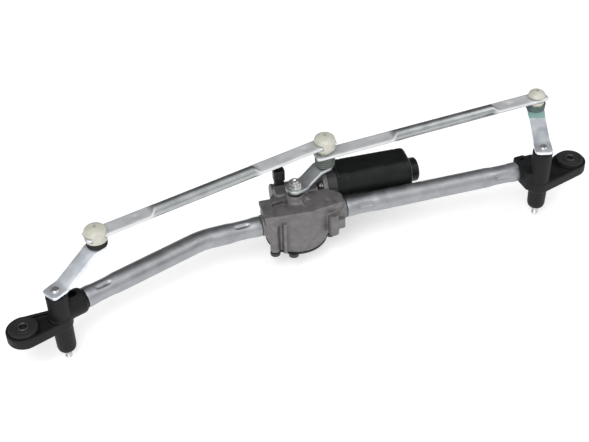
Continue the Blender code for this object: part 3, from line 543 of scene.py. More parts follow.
TUBE_TURN = {side: -math.atan2(b[1] - a[1], b[0] - a[0]) for side, (a, b) in
             (("left", LEFT_TUBE[:2]), ("right", RIGHT_TUBE[::-1]))}
LOOKS = {
    "left_tube": drawn_zinc("left_tube_zinc", (0.36, 0.37, 0.385), 0.42, TUBE_TURN["left"]),
    "right_tube": drawn_zinc("right_tube_zinc", (0.36, 0.37, 0.385), 0.42, TUBE_TURN["right"]),
    "rod": drawn_zinc("rod_zinc", (0.42, 0.44, 0.445), 0.3, 0.0, pressed=True),
    "lever": drawn_zinc("lever_zinc", (0.86, 0.90, 0.98), 0.5),
    "marked_lever": drawn_zinc("marked_lever_zinc", (0.86, 0.90, 0.98), 0.5,
                               paint=("paint", (0.12, 0.30, 0.27))),
    "arm": drawn_zinc("crank_arm_zinc", (0.56, 0.585, 0.60), 0.36),
    "sleeve": cloudy_metal("sleeve_zinc", (0.13, 0.13, 0.135), 0.5, (0.07, 0.065, 0.06)),
    "steel": machined("bright_steel", (0.70, 0.70, 0.69)),
    "casting": die_cast("cast_alloy", (0.165, 0.158, 0.160)),
    "housing": coated_black("housing_coat", (0.006, 0.0063, 0.007), 0.55, 1.3, rub=(0.05, 0.05, 0.055)),
    "motor": coated_black("motor_paint", (0.0055, 0.0065, 0.006), 0.36, 2.4, rub=(0.04, 0.04, 0.044)),
    "black_plastic": moulded("black_plastic", (0.022, 0.022, 0.024), 0.5, (0.012, 0.012, 0.012)),
    "rubber": moulded("rubber", (0.009, 0.009, 0.0095), 0.72, (0.018, 0.017, 0.016)),
    "ivory": moulded("ivory_acetal", (0.53, 0.525, 0.455), 0.36, (0.26, 0.27, 0.235), Subsurface_Weight=0.12,
                     Subsurface_Scale=0.004),
    # greenish grease, and a much darker copy of the ivory acetal as painted shade on the crank pin's lower
    # socket
    "greasy_ivory_painted_shade": moulded("greasy_acetal_painted_shade", (0.20, 0.235, 0.205), 0.3, (0.07, 0.085, 0.07)),
    "grey_rubber": moulded("greasy_rubber", (0.085, 0.10, 0.09), 0.42, (0.03, 0.035, 0.03)),
    "green_rubber": moulded("green_rubber", (0.085, 0.135, 0.125), 0.5, (0.03, 0.045, 0.04)),
    "gear_plastic": moulded("gear_acetal", (0.70, 0.67, 0.54), 0.4, (0.4, 0.36, 0.26)),
    "bronze": cloudy_metal("sintered_bronze", (0.50, 0.34, 0.18), 0.45, (0.28, 0.19, 0.11)),
    "copper": cloudy_metal("copper", (0.75, 0.38, 0.24), 0.32, (0.42, 0.2, 0.13)),
    "carbon": moulded("carbon", (0.04, 0.04, 0.042), 0.55, (0.02, 0.02, 0.02)),
    "ferrite": moulded("ferrite", (0.07, 0.068, 0.07), 0.6, (0.04, 0.04, 0.04)),
    "iron": cloudy_metal("laminated_iron", (0.30, 0.30, 0.31), 0.5, (0.2, 0.17, 0.15)),
}


def write(name, bm, body, look, replaces=(), smooth=38.0, marks=None):
    """Turn a shape in millimetres into a piece that rides on a body.

    marks: attribute name to a function of a point, for a material that differs over the piece.
    """
    obj = as_object(bm, name)
    mesh = obj.data
    for attribute, rule in (marks or {}).items():
        values = [rule(v.co) for v in mesh.vertices]
        mesh.attributes.new(attribute, "FLOAT", "POINT").data.foreach_set("value", values)
    mesh.transform(Matrix.Translation(ORIGIN) @ Matrix.Scale(MM, 4))
    mesh.shade_smooth()
    mesh.set_sharp_from_angle(angle=math.radians(smooth))
    mesh.materials.append(LOOKS[look])
    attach(obj, body)
    if replaces:
        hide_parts(*replaces)
    return obj


# ---- shapes shared by several pieces --------------------------------------------------------------

def merged(*shapes):
    """One bmesh that holds all the shapes, still as separate shells."""
    base = shapes[0]
    for shape in shapes[1:]:
        mesh = bpy.data.meshes.new("part")
        shape.to_mesh(mesh)
        shape.free()
        base.from_mesh(mesh)
        bpy.data.meshes.remove(mesh)
    return base


def casting(solids, hollows, bores, voxel, passes=5, keep=0.4):
    """A casting: solids melted together, with moulded hollows and sharp machined bores."""
    body = as_cast(merged(*solids), voxel, 0, 1.0)
    if hollows:
        body = as_cast(cut(body, merged(*hollows)), voxel, passes, keep)
    return cut(body, merged(*bores))


def threaded(z0, z1, core, crest, pitch, per_turn=8):
    """Stations of a screw thread between two heights, fading out at both ends."""
    count = int((z1 - z0) / pitch * per_turn)
    stations = []
    for k in range(count + 1):
        z = z0 + (z1 - z0) * k / count
        fade = max(0.0, min(1.0, (z - z0) / pitch, (z1 - z) / pitch))

        def radius(t, z=z, fade=fade):
            phase = (z / pitch - t / (2 * math.pi)) % 1.0
            return core + (crest - core) * (1 - fade * abs(2 * phase - 1))
        stations.append((z, radius))
    return stations


def hexagon(flats, limit=1e9):
    """Radius of a hexagon that is flats across, no more than limit."""
    def radius(t):
        return min(limit, flats / 2 / math.cos((t % (math.pi / 3)) - math.pi / 6))
    return radius


def hex_head(flats, flange, z0, z1):
    """Flanged hexagon head or nut between two heights, its corners turned down at the top."""
    corner = flats / 2 / math.cos(math.pi / 6)
    rim = z0 + 1.2
    stations = [(z0, flange - 0.3), (z0 + 0.3, flange), (rim - 0.3, flange), (rim, flange - 0.5),
                (rim + 0.25, hexagon(flats)), (z1 - 1.1, hexagon(flats))]
    stations += [(z1 - 1.1 + 0.22 * k, hexagon(flats, corner - 0.045 * k * k)) for k in range(1, 5)]
    stations += [(z1, flats / 2 - 0.25)]
    return turned(stations, 96)


def six_lobes(radius, z0, z1, points=48):
    """Cutter for a six-lobed driver recess."""
    outline = []
    for t in around(points):
        r = radius * (0.86 + 0.14 * math.cos(6 * t))
        outline.append((r * math.cos(t), r * math.sin(t)))
    return prism(outline, z0, z1)


def pan_screw(z_head, z_seat, z_tip, head_r, shank_r):
    """Screw with a domed head that looks down, a six-lobed recess and a thread above."""
    rise = z_seat - z_head
    dome = [(head_r * math.sin(math.radians(t)), z_head + rise * (1 - math.cos(math.radians(t))) * 0.9)
            for t in range(0, 91, 15)]
    outline = [(max(0.0, r), z) for r, z in dome] + [(head_r, z_seat), (0, z_seat)]
    head = cut(lathe(outline, 40), six_lobes(head_r * 0.5, z_head - 1, z_head + rise * 0.7))
    shank = turned([(z_seat - 0.4, shank_r)] + threaded(z_seat, z_tip - 1, shank_r - 0.35, shank_r, 1.0)
                   + [(z_tip, shank_r - 0.6)], 28)
    return joined(head, shank)


def rounded_ring(x, half, z0, z1, edge=0.7, steps=3):
    """Rounded-rectangle section of a strip, in the YZ plane at x."""
    r = min(edge, half * 0.9, (z1 - z0) / 2 * 0.95)
    points = []
    for cy, cz, start in ((half - r, z1 - r, 0), (r - half, z1 - r, 90), (r - half, z0 + r, 180),
                          (half - r, z0 + r, 270)):
        for k in range(steps + 1):
            t = math.radians(start + 90 * k / steps)
            points.append((x, cy + r * math.cos(t), cz + r * math.sin(t)))
    return points


def stamped_strip(length, half_width, z_low, z_high, rise, thick, start_r, end_r, power=2.0):
    """Flat strip along X that slopes up between two bends; half_width is a function of the distance.

    A higher power squares the low end, which is round otherwise.
    """
    def lift(s):
        share = [min(1.0, max(0.0, (s + d - rise[0]) / (rise[1] - rise[0]))) for d in (-2, -1, 0, 1, 2)]
        return z_low + (z_high - z_low) * sum(share) / len(share)

    stations = [-start_r * math.cos(math.radians(t)) for t in range(6, 90, 7)]
    stations += [length * k / 40 for k in range(41)]
    stations += [length + end_r * math.sin(math.radians(t)) for t in range(7, 85, 7)]
    rings = []
    for s in stations:
        half = half_width(max(0.0, min(length, s)))
        if s < 0:
            half *= (1 - abs(s / start_r) ** power) ** (1 / power)
        elif s > length:
            half *= math.sqrt(1 - ((s - length) / end_r) ** 2)
        z = lift(s)
        rings.append(rounded_ring(s, half, z, z + thick))
    return loft(rings)


# ---- frame tubes ----------------------------------------------------------------------------------

STAKE_AT, STAKE_LONG, STAKE_WIDE, STAKE_DEEP = 23.0, 8.5, 0.2, 2.0     # stakes that hold a tube on its spigot
STAKE_ANGLES = [math.radians(a) for a in (25, 115, 205, 295)]


def angle_gap(a, b):
    return abs((a - b + math.pi) % (2 * math.pi) - math.pi)


def tube_line(corners, bend_radius, step=2.0):
    """(point, direction) pairs along a tube's axis, with an arc in place of its middle corner."""
    points = [Vector((*c, 0)) for c in corners]
    legs, line = [], []
    if len(points) == 2:
        legs = [(points[0], points[1])]
    else:
        before, after = (points[1] - points[0]).normalized(), (points[2] - points[1]).normalized()
        turn = before.angle(after) * (1 if before.cross(after).z > 0 else -1)
        back = abs(bend_radius * math.tan(turn / 2))
        legs = [(points[0], points[1] - before * back), (points[1] + after * back, points[2])]
    for number, (start, end) in enumerate(legs):
        way, count = (end - start).normalized(), max(2, int((end - start).length / step))
        line += [(start + (end - start) * k / count, way) for k in range(count + 1)]
        if number == 0 and len(legs) == 2:
            centre = end + Vector((-way.y, way.x, 0)) * math.copysign(bend_radius, turn)
            arc_steps = max(4, int(abs(bend_radius * turn) / step))
            for k in range(1, arc_steps):
                spin = Matrix.Rotation(turn * k / arc_steps, 3, "Z")
                line.append((centre + spin @ (end - centre), spin @ way))
    return line


def frame_tube(corners, bend_radius=None):
    """Drawn tube, necked and staked onto a spigot at each end, with faint ripples inside its bend."""
    line = tube_line(corners, bend_radius)
    distances = [0.0]
    for (a, _), (b, _) in zip(line, line[1:]):
        distances.append(distances[-1] + (b - a).length)
    total = distances[-1]
    bend_at = (Vector(corners[1]) - Vector(corners[0])).length if bend_radius else None
    outer, inner, count = [], [], 72
    for s, (point, way) in zip(distances, line):
        side = Vector((-way.y, way.x, 0)).normalized()
        up = way.cross(side)
        rings = [[], []]
        for t in around(count):
            r = TUBE_R - 0.35 * mound(min(s, total - s), 1.2)
            for end in (s, total - s):
                r -= 0.75 * mound(end - STAKE_AT, 14, 6)
                dent = sum(mound(angle_gap(t, a), STAKE_WIDE) for a in STAKE_ANGLES)
                r -= STAKE_DEEP * dent * mound(end - STAKE_AT, STAKE_LONG, 6)
            if bend_at:
                inside = mound(angle_gap(t, math.pi), 0.9)
                near = mound(s - bend_at, 13)
                r -= near * (0.5 * inside + 0.4 * inside * math.cos((s - bend_at) / 1.7))
            for shell, radius in zip(rings, (r, r - TUBE_WALL)):
                shell.append(point + side * radius * math.cos(t) + up * radius * math.sin(t))
        outer.append(rings[0])
        inner.append(rings[1])
    return shell_loft(outer, inner)


def add_tubes():
    write("left_frame_tube", frame_tube(LEFT_TUBE, LEFT_TUBE_BEND_R), "frame", "left_tube",
          ["left_tube"])
    write("right_frame_tube", frame_tube(RIGHT_TUBE), "frame", "right_tube", ["right_tube"])


# ---- link rods --------------------------------------------------------------------------------------

def link_rod(start, end, flats, dimples):
    """Tube with pressed ends: mesh, and the rule that says how pressed a point is."""
    place = beam_frame(start, end)
    length = (Vector(end) - Vector(start)).length
    inner_flat, outer_flat = flats

    def pressed(s):
        near = 1 - smooth_step((s - inner_flat) / ROD_PRESS)
        far = smooth_step((s - (length - outer_flat - ROD_PRESS)) / ROD_PRESS)
        return max(near, far)

    def ring_at(s, wall):
        share = pressed(s)
        corner = max(mound(s + 12, 1.6), mound(s - length - ROD_TAIL, 1.6))
        half_w = ROD_R + (ROD_FLAT_W / 2 - ROD_R) * share - 1.7 * corner - wall
        half_t = ROD_R + (ROD_FLAT_T / 2 - ROD_R) * share - wall
        power = 2.0 + 1.6 * share
        points, count = [], 56
        for t in around(count):
            c, n = math.cos(t), math.sin(t)
            y = math.copysign(abs(c) ** (2 / power), c) * half_w
            z = math.copysign(abs(n) ** (2 / power), n) * half_t
            if wall == 0:
                hollow = 0.4 * share * max(0.0, 1 - (y / (half_w * 0.75)) ** 2)
                for at, deep in dimples:
                    hollow += deep * mound(math.hypot(s - at, y * 1.25), 3.4, 3) * (z > 0)
                z -= math.copysign(hollow, z)
            points.append((s, y, z))
        return points

    steps = int((length + 24) / 1.6)
    stations = [-12 + (length + 12 + ROD_TAIL) * k / steps for k in range(steps + 1)]
    body = shell_loft([ring_at(s, 0) for s in stations], [ring_at(s, ROD_WALL) for s in stations])
    holes = [moved(rod_between(SOCKET_NECK + 0.1, z - 12, z + 12), x, y) for x, y, z in (start, end)]
    body = cut(placed(body, place), merged(*holes))
    back = place.inverted()
    return body, lambda point: pressed((back @ point).x)


def add_rods():
    flats = {"left": (88.0, 63.0), "right": (84.0, 55.0)}      # lengths of the pressed ends
    dimples = {"left": [(27.0, 1.1), (245.0, 1.3)],            # (distance from the pin, depth)
               "right": [(62.0, 0.7), (247.0, 1.3)]}
    for side in SPINDLES:
        start = (PIN.x, PIN.y, ROD_Z[side])
        end = (BALLS[side].x, BALLS[side].y, ROD_Z["lever"])
        body, pressed = link_rod(start, end, flats[side], dimples[side])
        write(f"{side}_link_tube", body, f"{side}_link", "rod", [f"{side}_rod"],
              marks={"pressed": pressed})


# ---- ball joints ------------------------------------------------------------------------------------

SOCKET_CAVITY = BALL_R + 0.4
SKIRT_Z = -6.8                   # how far a wide cap reaches down beside the rod
CHANNEL_W, CHANNEL_T = 20.8, 6.6 # the rod's way through a cap
BALL_LOW, BALL_HIGH = -BALL_DROP - 4.4, -BALL_DROP + 4.6


def skirt():
    """Outer wall of a ball socket below the rod, down to its mouth."""
    return [(5.6, BALL_LOW - 0.6), (8.9, BALL_LOW - 0.6), (9.3, BALL_LOW - 0.2), (9.6, BALL_LOW + 0.8),
            (10.0, BALL_LOW + 1.6), (10.0, -4.2), (9.6, -3.3), (SOCKET_NECK, -3.3), (SOCKET_NECK, 3.3)]


def skirt_slots(count=8):
    """Cutters for the slits that let a socket spring over its ball."""
    slots = []
    for k in range(count):
        slot = box((8.6, 11), (-0.55, 0.55), (BALL_LOW - 2, -6.2))
        slots.append(placed(slot, Matrix.Rotation(2 * math.pi * (k + 0.5) / count, 4, "Z")))
    return slots


def domed_socket(head_r, head_top, heading):
    """Moulded cup under the rod and a round cap above it, joined through the rod's hole.

    A cap wider than the rod also reaches down on both sides of it, as a skirt round the cup.
    """
    cavity = ball_arc(SOCKET_CAVITY, -BALL_DROP, BALL_LOW, -BALL_DROP + SOCKET_CAVITY - 1e-4)
    outline = [(0, cavity[-1][1])] + cavity[-2::-1] + skirt()[:5]
    half = CHANNEL_T / 2
    wraps = head_r > CHANNEL_W / 2 + 1.5
    if wraps:
        outline += [(10.0, SKIRT_Z), (head_r - 0.8, SKIRT_Z + 0.1), (head_r - 0.2, SKIRT_Z + 0.6),
                    (head_r, SKIRT_Z + 1.4), (head_r, half + 1.0)]
    else:
        outline += skirt()[5:] + [(head_r - 0.5, half), (head_r, half + 0.5), (head_r, half + 1.0)]
    shoulder, power = half + 1.0, 2.12
    for k in range(1, 20):
        t = math.radians(90 * k / 20)
        out, up = math.cos(t) ** (2 / power), math.sin(t) ** (2 / power)
        outline.append((head_r * out, shoulder + (head_top - shoulder) * up))
    outline += [(1.6, head_top), (1.3, head_top - 0.35), (0, head_top - 0.35)]
    body = cut(lathe(outline, 72), merged(*skirt_slots()))
    if wraps:
        channel = box((-20, 20), (-CHANNEL_W / 2, CHANNEL_W / 2), (-half, half))
        channel = soften(cut(channel, rod_between(SOCKET_NECK, -9, 9)), 0.5, 2)
        body = cut(body, placed(channel, Matrix.Rotation(heading, 4, "Z")))
    return body


def ring_socket():
    """The crank pin's lower socket, open above for the pin."""
    cavity = ball_arc(SOCKET_CAVITY, -BALL_DROP, BALL_LOW, BALL_HIGH)
    outline = cavity[::-1] + skirt()[:-1]
    outline += [(SOCKET_NECK, 3.1), (9.0, 3.1), (9.4, 3.5), (9.4, 4.1), (9.0, 4.5), (5.2, 4.5)]
    return cut(lathe(outline, 64), merged(*skirt_slots()))


def bellows(low, high, narrow, wide, folds=3):
    """Rubber dust boot with shallow folds."""
    outer, steps = [], 8 * folds
    for k in range(steps + 1):
        share = k / steps
        r = narrow + 1.5 + (wide - narrow) * share + 0.45 * math.cos(2 * math.pi * folds * share) - 0.25
        outer.append((r, low + 0.3 + (high - low - 0.6) * share))
    return lathe([(narrow, low + 0.1), (narrow + 0.9, low)] + outer + [(wide + 0.9, high), (wide, high)], 56)


def ball_pin(ball_z, flange_z):
    arc = ball_arc(BALL_R, ball_z, ball_z - 5.1, ball_z + 6.1)
    flange = [(0, flange_z), (8.1, flange_z), (8.4, flange_z + 0.3), (8.4, flange_z + 1.7),
              (8.1, flange_z + 2.0), (4.4, flange_z + 2.0), (4.0, flange_z + 2.4)]
    return lathe(flange + arc + [(0, arc[-1][1])])


def crank_pin_stack(low_ball, high_ball):
    outline = [(0, 43.4), (6.1, 43.4), (6.5, 43.8), (6.5, 45.2), (6.1, 45.6), (4.0, 45.6), (4.0, 50.8),
               (8.1, 50.8), (8.4, 51.1), (8.4, 52.5), (8.1, 52.8), (4.2, 52.8)]
    outline += ball_arc(BALL_R, low_ball, low_ball - 4.9, low_ball + 5.0)
    outline += ball_arc(BALL_R, high_ball, high_ball - 5.1, high_ball + 6.1)
    return lathe(outline + [(0, high_ball + 6.1)])


def add_ball_joints():
    caps = {"left": (12.95, 11.4), "right": (10.8, 10.7)}      # radius, height above the rod's middle
    for side, at in BALLS.items():
        body = f"{side}_link"
        heading = math.atan2(at.y - PIN.y, at.x - PIN.x)
        cap = moved(domed_socket(*caps[side], heading), at.x, at.y, ROD_Z["lever"])
        write(f"{side}_outer_cap", cap, body, "ivory", [f"{side}_outer_socket"])
        flange = span(f"{side}_ball_stud")[0].z
        stud = moved(ball_pin(ROD_Z["lever"] - BALL_DROP, flange), at.x, at.y)
        write(f"{side}_ball_pin", stud, body, "steel", [f"{side}_ball_stud"])
        low, high = (corner.z for corner in span(f"{side}_boot"))
        seal = moved(bellows(low, high, 10.3, 10.6), at.x, at.y)
        write(f"{side}_dust_boot", seal, body, "rubber" if side == "left" else "green_rubber",
              [f"{side}_boot"])
        if side == "left":
            cap = moved(domed_socket(*caps[side], heading), PIN.x, PIN.y, ROD_Z[side])
            write("left_inner_cap", cap, body, "ivory", ["left_inner_socket"])
    cup = moved(ring_socket(), PIN.x, PIN.y, ROD_Z["right"])
    # the lower socket's look is the ivory darkened as painted shade, with greenish grease
    write("right_inner_cup", cup, "right_link", "greasy_ivory_painted_shade", ["right_inner_socket"])
    low, high = (corner.z for corner in span("crank_boot"))
    seal = moved(bellows(low, high, 10.3, 10.6), PIN.x, PIN.y)
    write("crank_dust_boot", seal, "right_link", "grey_rubber", ["crank_boot"])
    stack = crank_pin_stack(ROD_Z["right"] - BALL_DROP, ROD_Z["left"] - BALL_DROP)
    write("crank_pin", moved(stack, PIN.x, PIN.y), "crank", "steel", ["crank_ball_stud"])


# ---- levers, spindles and their housings ---------------------------------------------------------

def wiper_spindle(tip, base):
    """Spindle: threaded tip, knurled cone, smooth shaft and a peened head on the lever."""
    def knurl(radius):
        return lambda t: radius + 0.16 * math.cos(36 * t)
    head = base + LEVER_THICK
    stations = [(tip, 2.9), (tip + 0.9, 3.5)] + threaded(tip + 1.0, tip + 6.4, 3.25, 3.85, 1.25)
    stations += [(tip + 6.7, 3.6), (tip + 7.0, knurl(3.95)), (tip + 10.4, knurl(4.55)), (tip + 10.7, 4.6),
                 (tip + 11.3, SPINDLE_R), (head + 0.2, SPINDLE_R), (head + 1.0, 4.9), (head + 1.6, 4.4),
                 (head + 2.0, 3.6)]
    return turned(stations, 72)


def split_clip(inner, outer, z0, z1):
    """Snap ring with a gap between two small ears."""
    outline, gap = [], 22
    for radius, order in ((inner, 1), (outer, -1)):
        arc = [math.radians(gap + (360 - 2 * gap) * k / 44) for k in range(45)][::order]
        for t in arc:
            ear = 1.0 * mound(min(t, 2 * math.pi - t) - math.radians(gap), 0.25, 4) * (radius == outer)
            r = radius + ear - 0.9 * (radius == outer)
            outline.append((r * math.cos(t), r * math.sin(t)))
    return soften(prism(outline, z0, z1), 0.15, 1)


def lever_width(reach):
    """Half width of a lever: small ears over the spindle, a slim blade, a round end at the ball."""
    def half(s):
        ears = 10.75 - 0.75 * smooth_step((s - 9.0) / 3.0)
        return ears + 0.85 * smooth_step((s - reach + 20) / 16)
    return half


def add_levers():
    for side, spindle in SPINDLES.items():
        low, _ = span(f"{side}_lever")
        base, body = low.z, f"{side}_rocker"
        arm = BALLS[side] - spindle
        reach = arm.xy.length
        heading = Matrix.Rotation(math.atan2(arm.y, arm.x), 4, "Z")
        turn = Matrix.Translation((spindle.x, spindle.y, 0)) @ heading
        lever = stamped_strip(reach, lever_width(reach), base, LEVER_TAB_Z, (9.0, reach - 10.5),
                              LEVER_THICK, 10.7, 10.9, 5.0)
        lever = cut(lever, rod_between(SPINDLE_R + 0.12, base - 5, base + 10))
        marks, look = None, "lever"
        if side == "right":
            back = turn.inverted()
            marks = {"paint": lambda p: mound((back @ p).x - reach + 15.5, 6.0, 4)}
            look = "marked_lever"
        write(f"{side}_lever_plate", placed(lever, turn), body, look, [f"{side}_lever"],
              marks=marks)
        tip = span(f"{side}_spindle")[0].z
        shaft = moved(wiper_spindle(tip, base), spindle.x, spindle.y)
        write(f"{side}_spindle_shaft", shaft, body, "steel", [f"{side}_spindle"], 50)
        clip_low, clip_high = span(f"{side}_circlip")
        clip = moved(split_clip(5.4, 8.4, clip_low.z, clip_high.z), spindle.x, spindle.y)
        write(f"{side}_snap_ring", clip, body, "steel", [f"{side}_circlip"])


def pivot_casting(side, corners):
    """Black casting: a boss for the spindle, a spigot for the tube, a webbed arm and a mounting eye."""
    spindle, lug = SPINDLES[side].xy, LUGS[side].xy
    low, high = (corner.z for corner in span(f"{side}_pivot_housing"))
    boss = lathe([(0, low), (9.2, low), (10.0, low + 1.0), (11.0, low + 4.5), (11.5, -12), (12.2, 0),
                  (12.2, high - 0.6), (11.6, high), (0, high)])
    end, other = Vector((*corners[0], 0)), Vector((*corners[1], 0))
    out = (other - end).normalized()
    face = end - out * 1.0
    arm = prism(two_circle_outline(spindle, 13.0, lug, LUG_R), LUG_Z - LUG_HALF, LUG_Z + LUG_HALF)
    way = (lug - spindle).normalized()
    reach = (lug - spindle).length
    heading = math.atan2(way.y, way.x)
    gusset = loft([[(9.0, y, LUG_Z), (reach - 16, y, LUG_Z), (9.0, y, LUG_Z - 16)] for y in (-1.5, 1.5)])
    placed(gusset, Matrix.Translation((*spindle, 0)) @ Matrix.Rotation(heading, 4, "Z"))
    solids = [moved(boss, *spindle), arm, gusset,
              placed(rod_between(8.6, -12, 26), along(face, face + out)),
              placed(lathe([(0, -1.5), (12.0, -1.5), (12.0, 0.6), (0, 0.6)]), along(face, face + out))]
    if side == "left":
        knob = lathe([(0, -33), (9.5, -32.8), (12.4, -31.6), (14.4, -29.4), (15.3, -26.5), (15.3, -5),
                      (14.2, -2.2), (12.5, -0.4), (0, -0.4)])
        hole_at, hole_r = Vector((face.x - 13, face.y - 4)), 5.0
        solids.append(placed(knob, along(face, face + out)))
        solids.append(moved(rod_between(6.8, 8, 15.2), *hole_at))
    else:
        hole_at, hole_r = Vector((293, 27)), 2.5
        solids += [rounded_box((285.5, 312), (-3, 34), (-13, 12.5), 4.0),
                   rounded_box((284.5, 300), (20, 35.5), (-3, 13.4), 3.0),
                   moved(rod_between(4.6, 8, 14.2), *hole_at)]
    # The arm's webs lie between the eye and the boss, inside a rim, above and below.
    rim = two_circle_outline(spindle + way * 3, 9.6, lug, LUG_R - 3.6)
    webs = []
    for z0, z1 in ((LUG_Z + 2.2, 20), (-40, LUG_Z - 2.2)):
        web = prism(rim, z0, z1)
        keep_eye = moved(rod_between(17.0, -50, 30), *lug)
        keep_boss = moved(rod_between(14.2, -50, 30), *spindle)
        web = cut(web, keep_eye, keep_boss)
        if z1 < 0:
            spine = placed(box((0, reach), (-2.4, 2.4), (-50, 0)), Matrix.Translation((*spindle, 0))
                           @ Matrix.Rotation(heading, 4, "Z"))
            web = cut(web, spine)
        webs.append(web)
    if side == "left":
        webs = [cut(web, placed(rod_between(16.2, -40, 1), along(face, face + out))) for web in webs]
    else:
        webs = [cut(web, box((283, 313.5), (-5, 36), (-50, 30))) for web in webs]
    eye = moved(rod_between(12.5, -30, 20), *lug)
    bore = moved(rod_between(BORE_R, -80, 60), *spindle)
    hole = moved(rod_between(hole_r, 8.5, 25, 32), *hole_at)
    return casting(solids, webs, [eye, bore, hole], 0.7, 4, 0.45)


def lug_grommet():
    """Rubber grommet with rounded lips and shallow ribs round its inner cone."""
    below = [(6.8, 3.0), (7.4, 3.5), (15.0, 3.5), (16.2, 2.9), (16.5, 1.6), (16.2, 0.3), (12.2, 0.3)]
    above = [(12.2, 0.3), (16.2, 0.3), (16.5, 1.6), (16.2, 2.9), (15.2, 3.4), (12.6, 3.5), (12.0, 2.6),
             (10.2, 2.4), (9.4, 3.4), (7.4, 3.5), (6.8, 3.0)]
    outline = [(r, -LUG_HALF - z) for r, z in below] + [(r, LUG_HALF + z) for r, z in above]
    return lathe(outline, 72)


def add_pivots():
    for side, lug in LUGS.items():
        corners = LEFT_TUBE if side == "left" else RIGHT_TUBE
        write(f"{side}_spindle_casting", pivot_casting(side, corners), "frame", "housing",
              [f"{side}_pivot_housing"], 50)
        write(f"{side}_lug_grommet", moved(lug_grommet(), lug.x, lug.y, LUG_Z), "frame", "rubber",
              [f"{side}_grommet"])
        low, high = span(f"{side}_sleeve")
        sleeve = moved(ring(4.3, 6.5, low.z, high.z, 0.5), lug.x, lug.y)
        write(f"{side}_lug_sleeve", sleeve, "frame", "sleeve", [f"{side}_sleeve"])


# ---- gearbox ----------------------------------------------------------------------------------------

def deck_rim(angles):
    """Distance from the output shaft to the deck's outline at each angle."""
    rim = []
    for t in angles:
        ray, best = Vector((math.cos(t), math.sin(t))), 0
        for a, b in zip(DECK_OUTLINE, DECK_OUTLINE[1:] + DECK_OUTLINE[:1]):
            edge = Vector(b) - Vector(a)
            cross = ray.x * edge.y - ray.y * edge.x
            if abs(cross) > 1e-9:
                far = (a[0] * edge.y - a[1] * edge.x) / cross
                share = (a[0] * ray.y - a[1] * ray.x) / cross
                if far > 0 and -1e-6 <= share <= 1 + 1e-6:
                    best = max(best, far)
        rim.append(max(best, 22.0))
    return rim


def flat_sided(radius, half_height, x, segments=96, soft=1.2):
    """Round section with flats above and below, blended softly, in the YZ plane at x."""
    points = []
    for t in around(segments):
        y, z = radius * math.cos(t), radius * math.sin(t)
        over = abs(z) - (half_height - soft)
        if over > 0:
            z = math.copysign(half_height - soft * math.exp(-over / soft), z)
        points.append((x, y, z + CAN_LIFT))
    return points


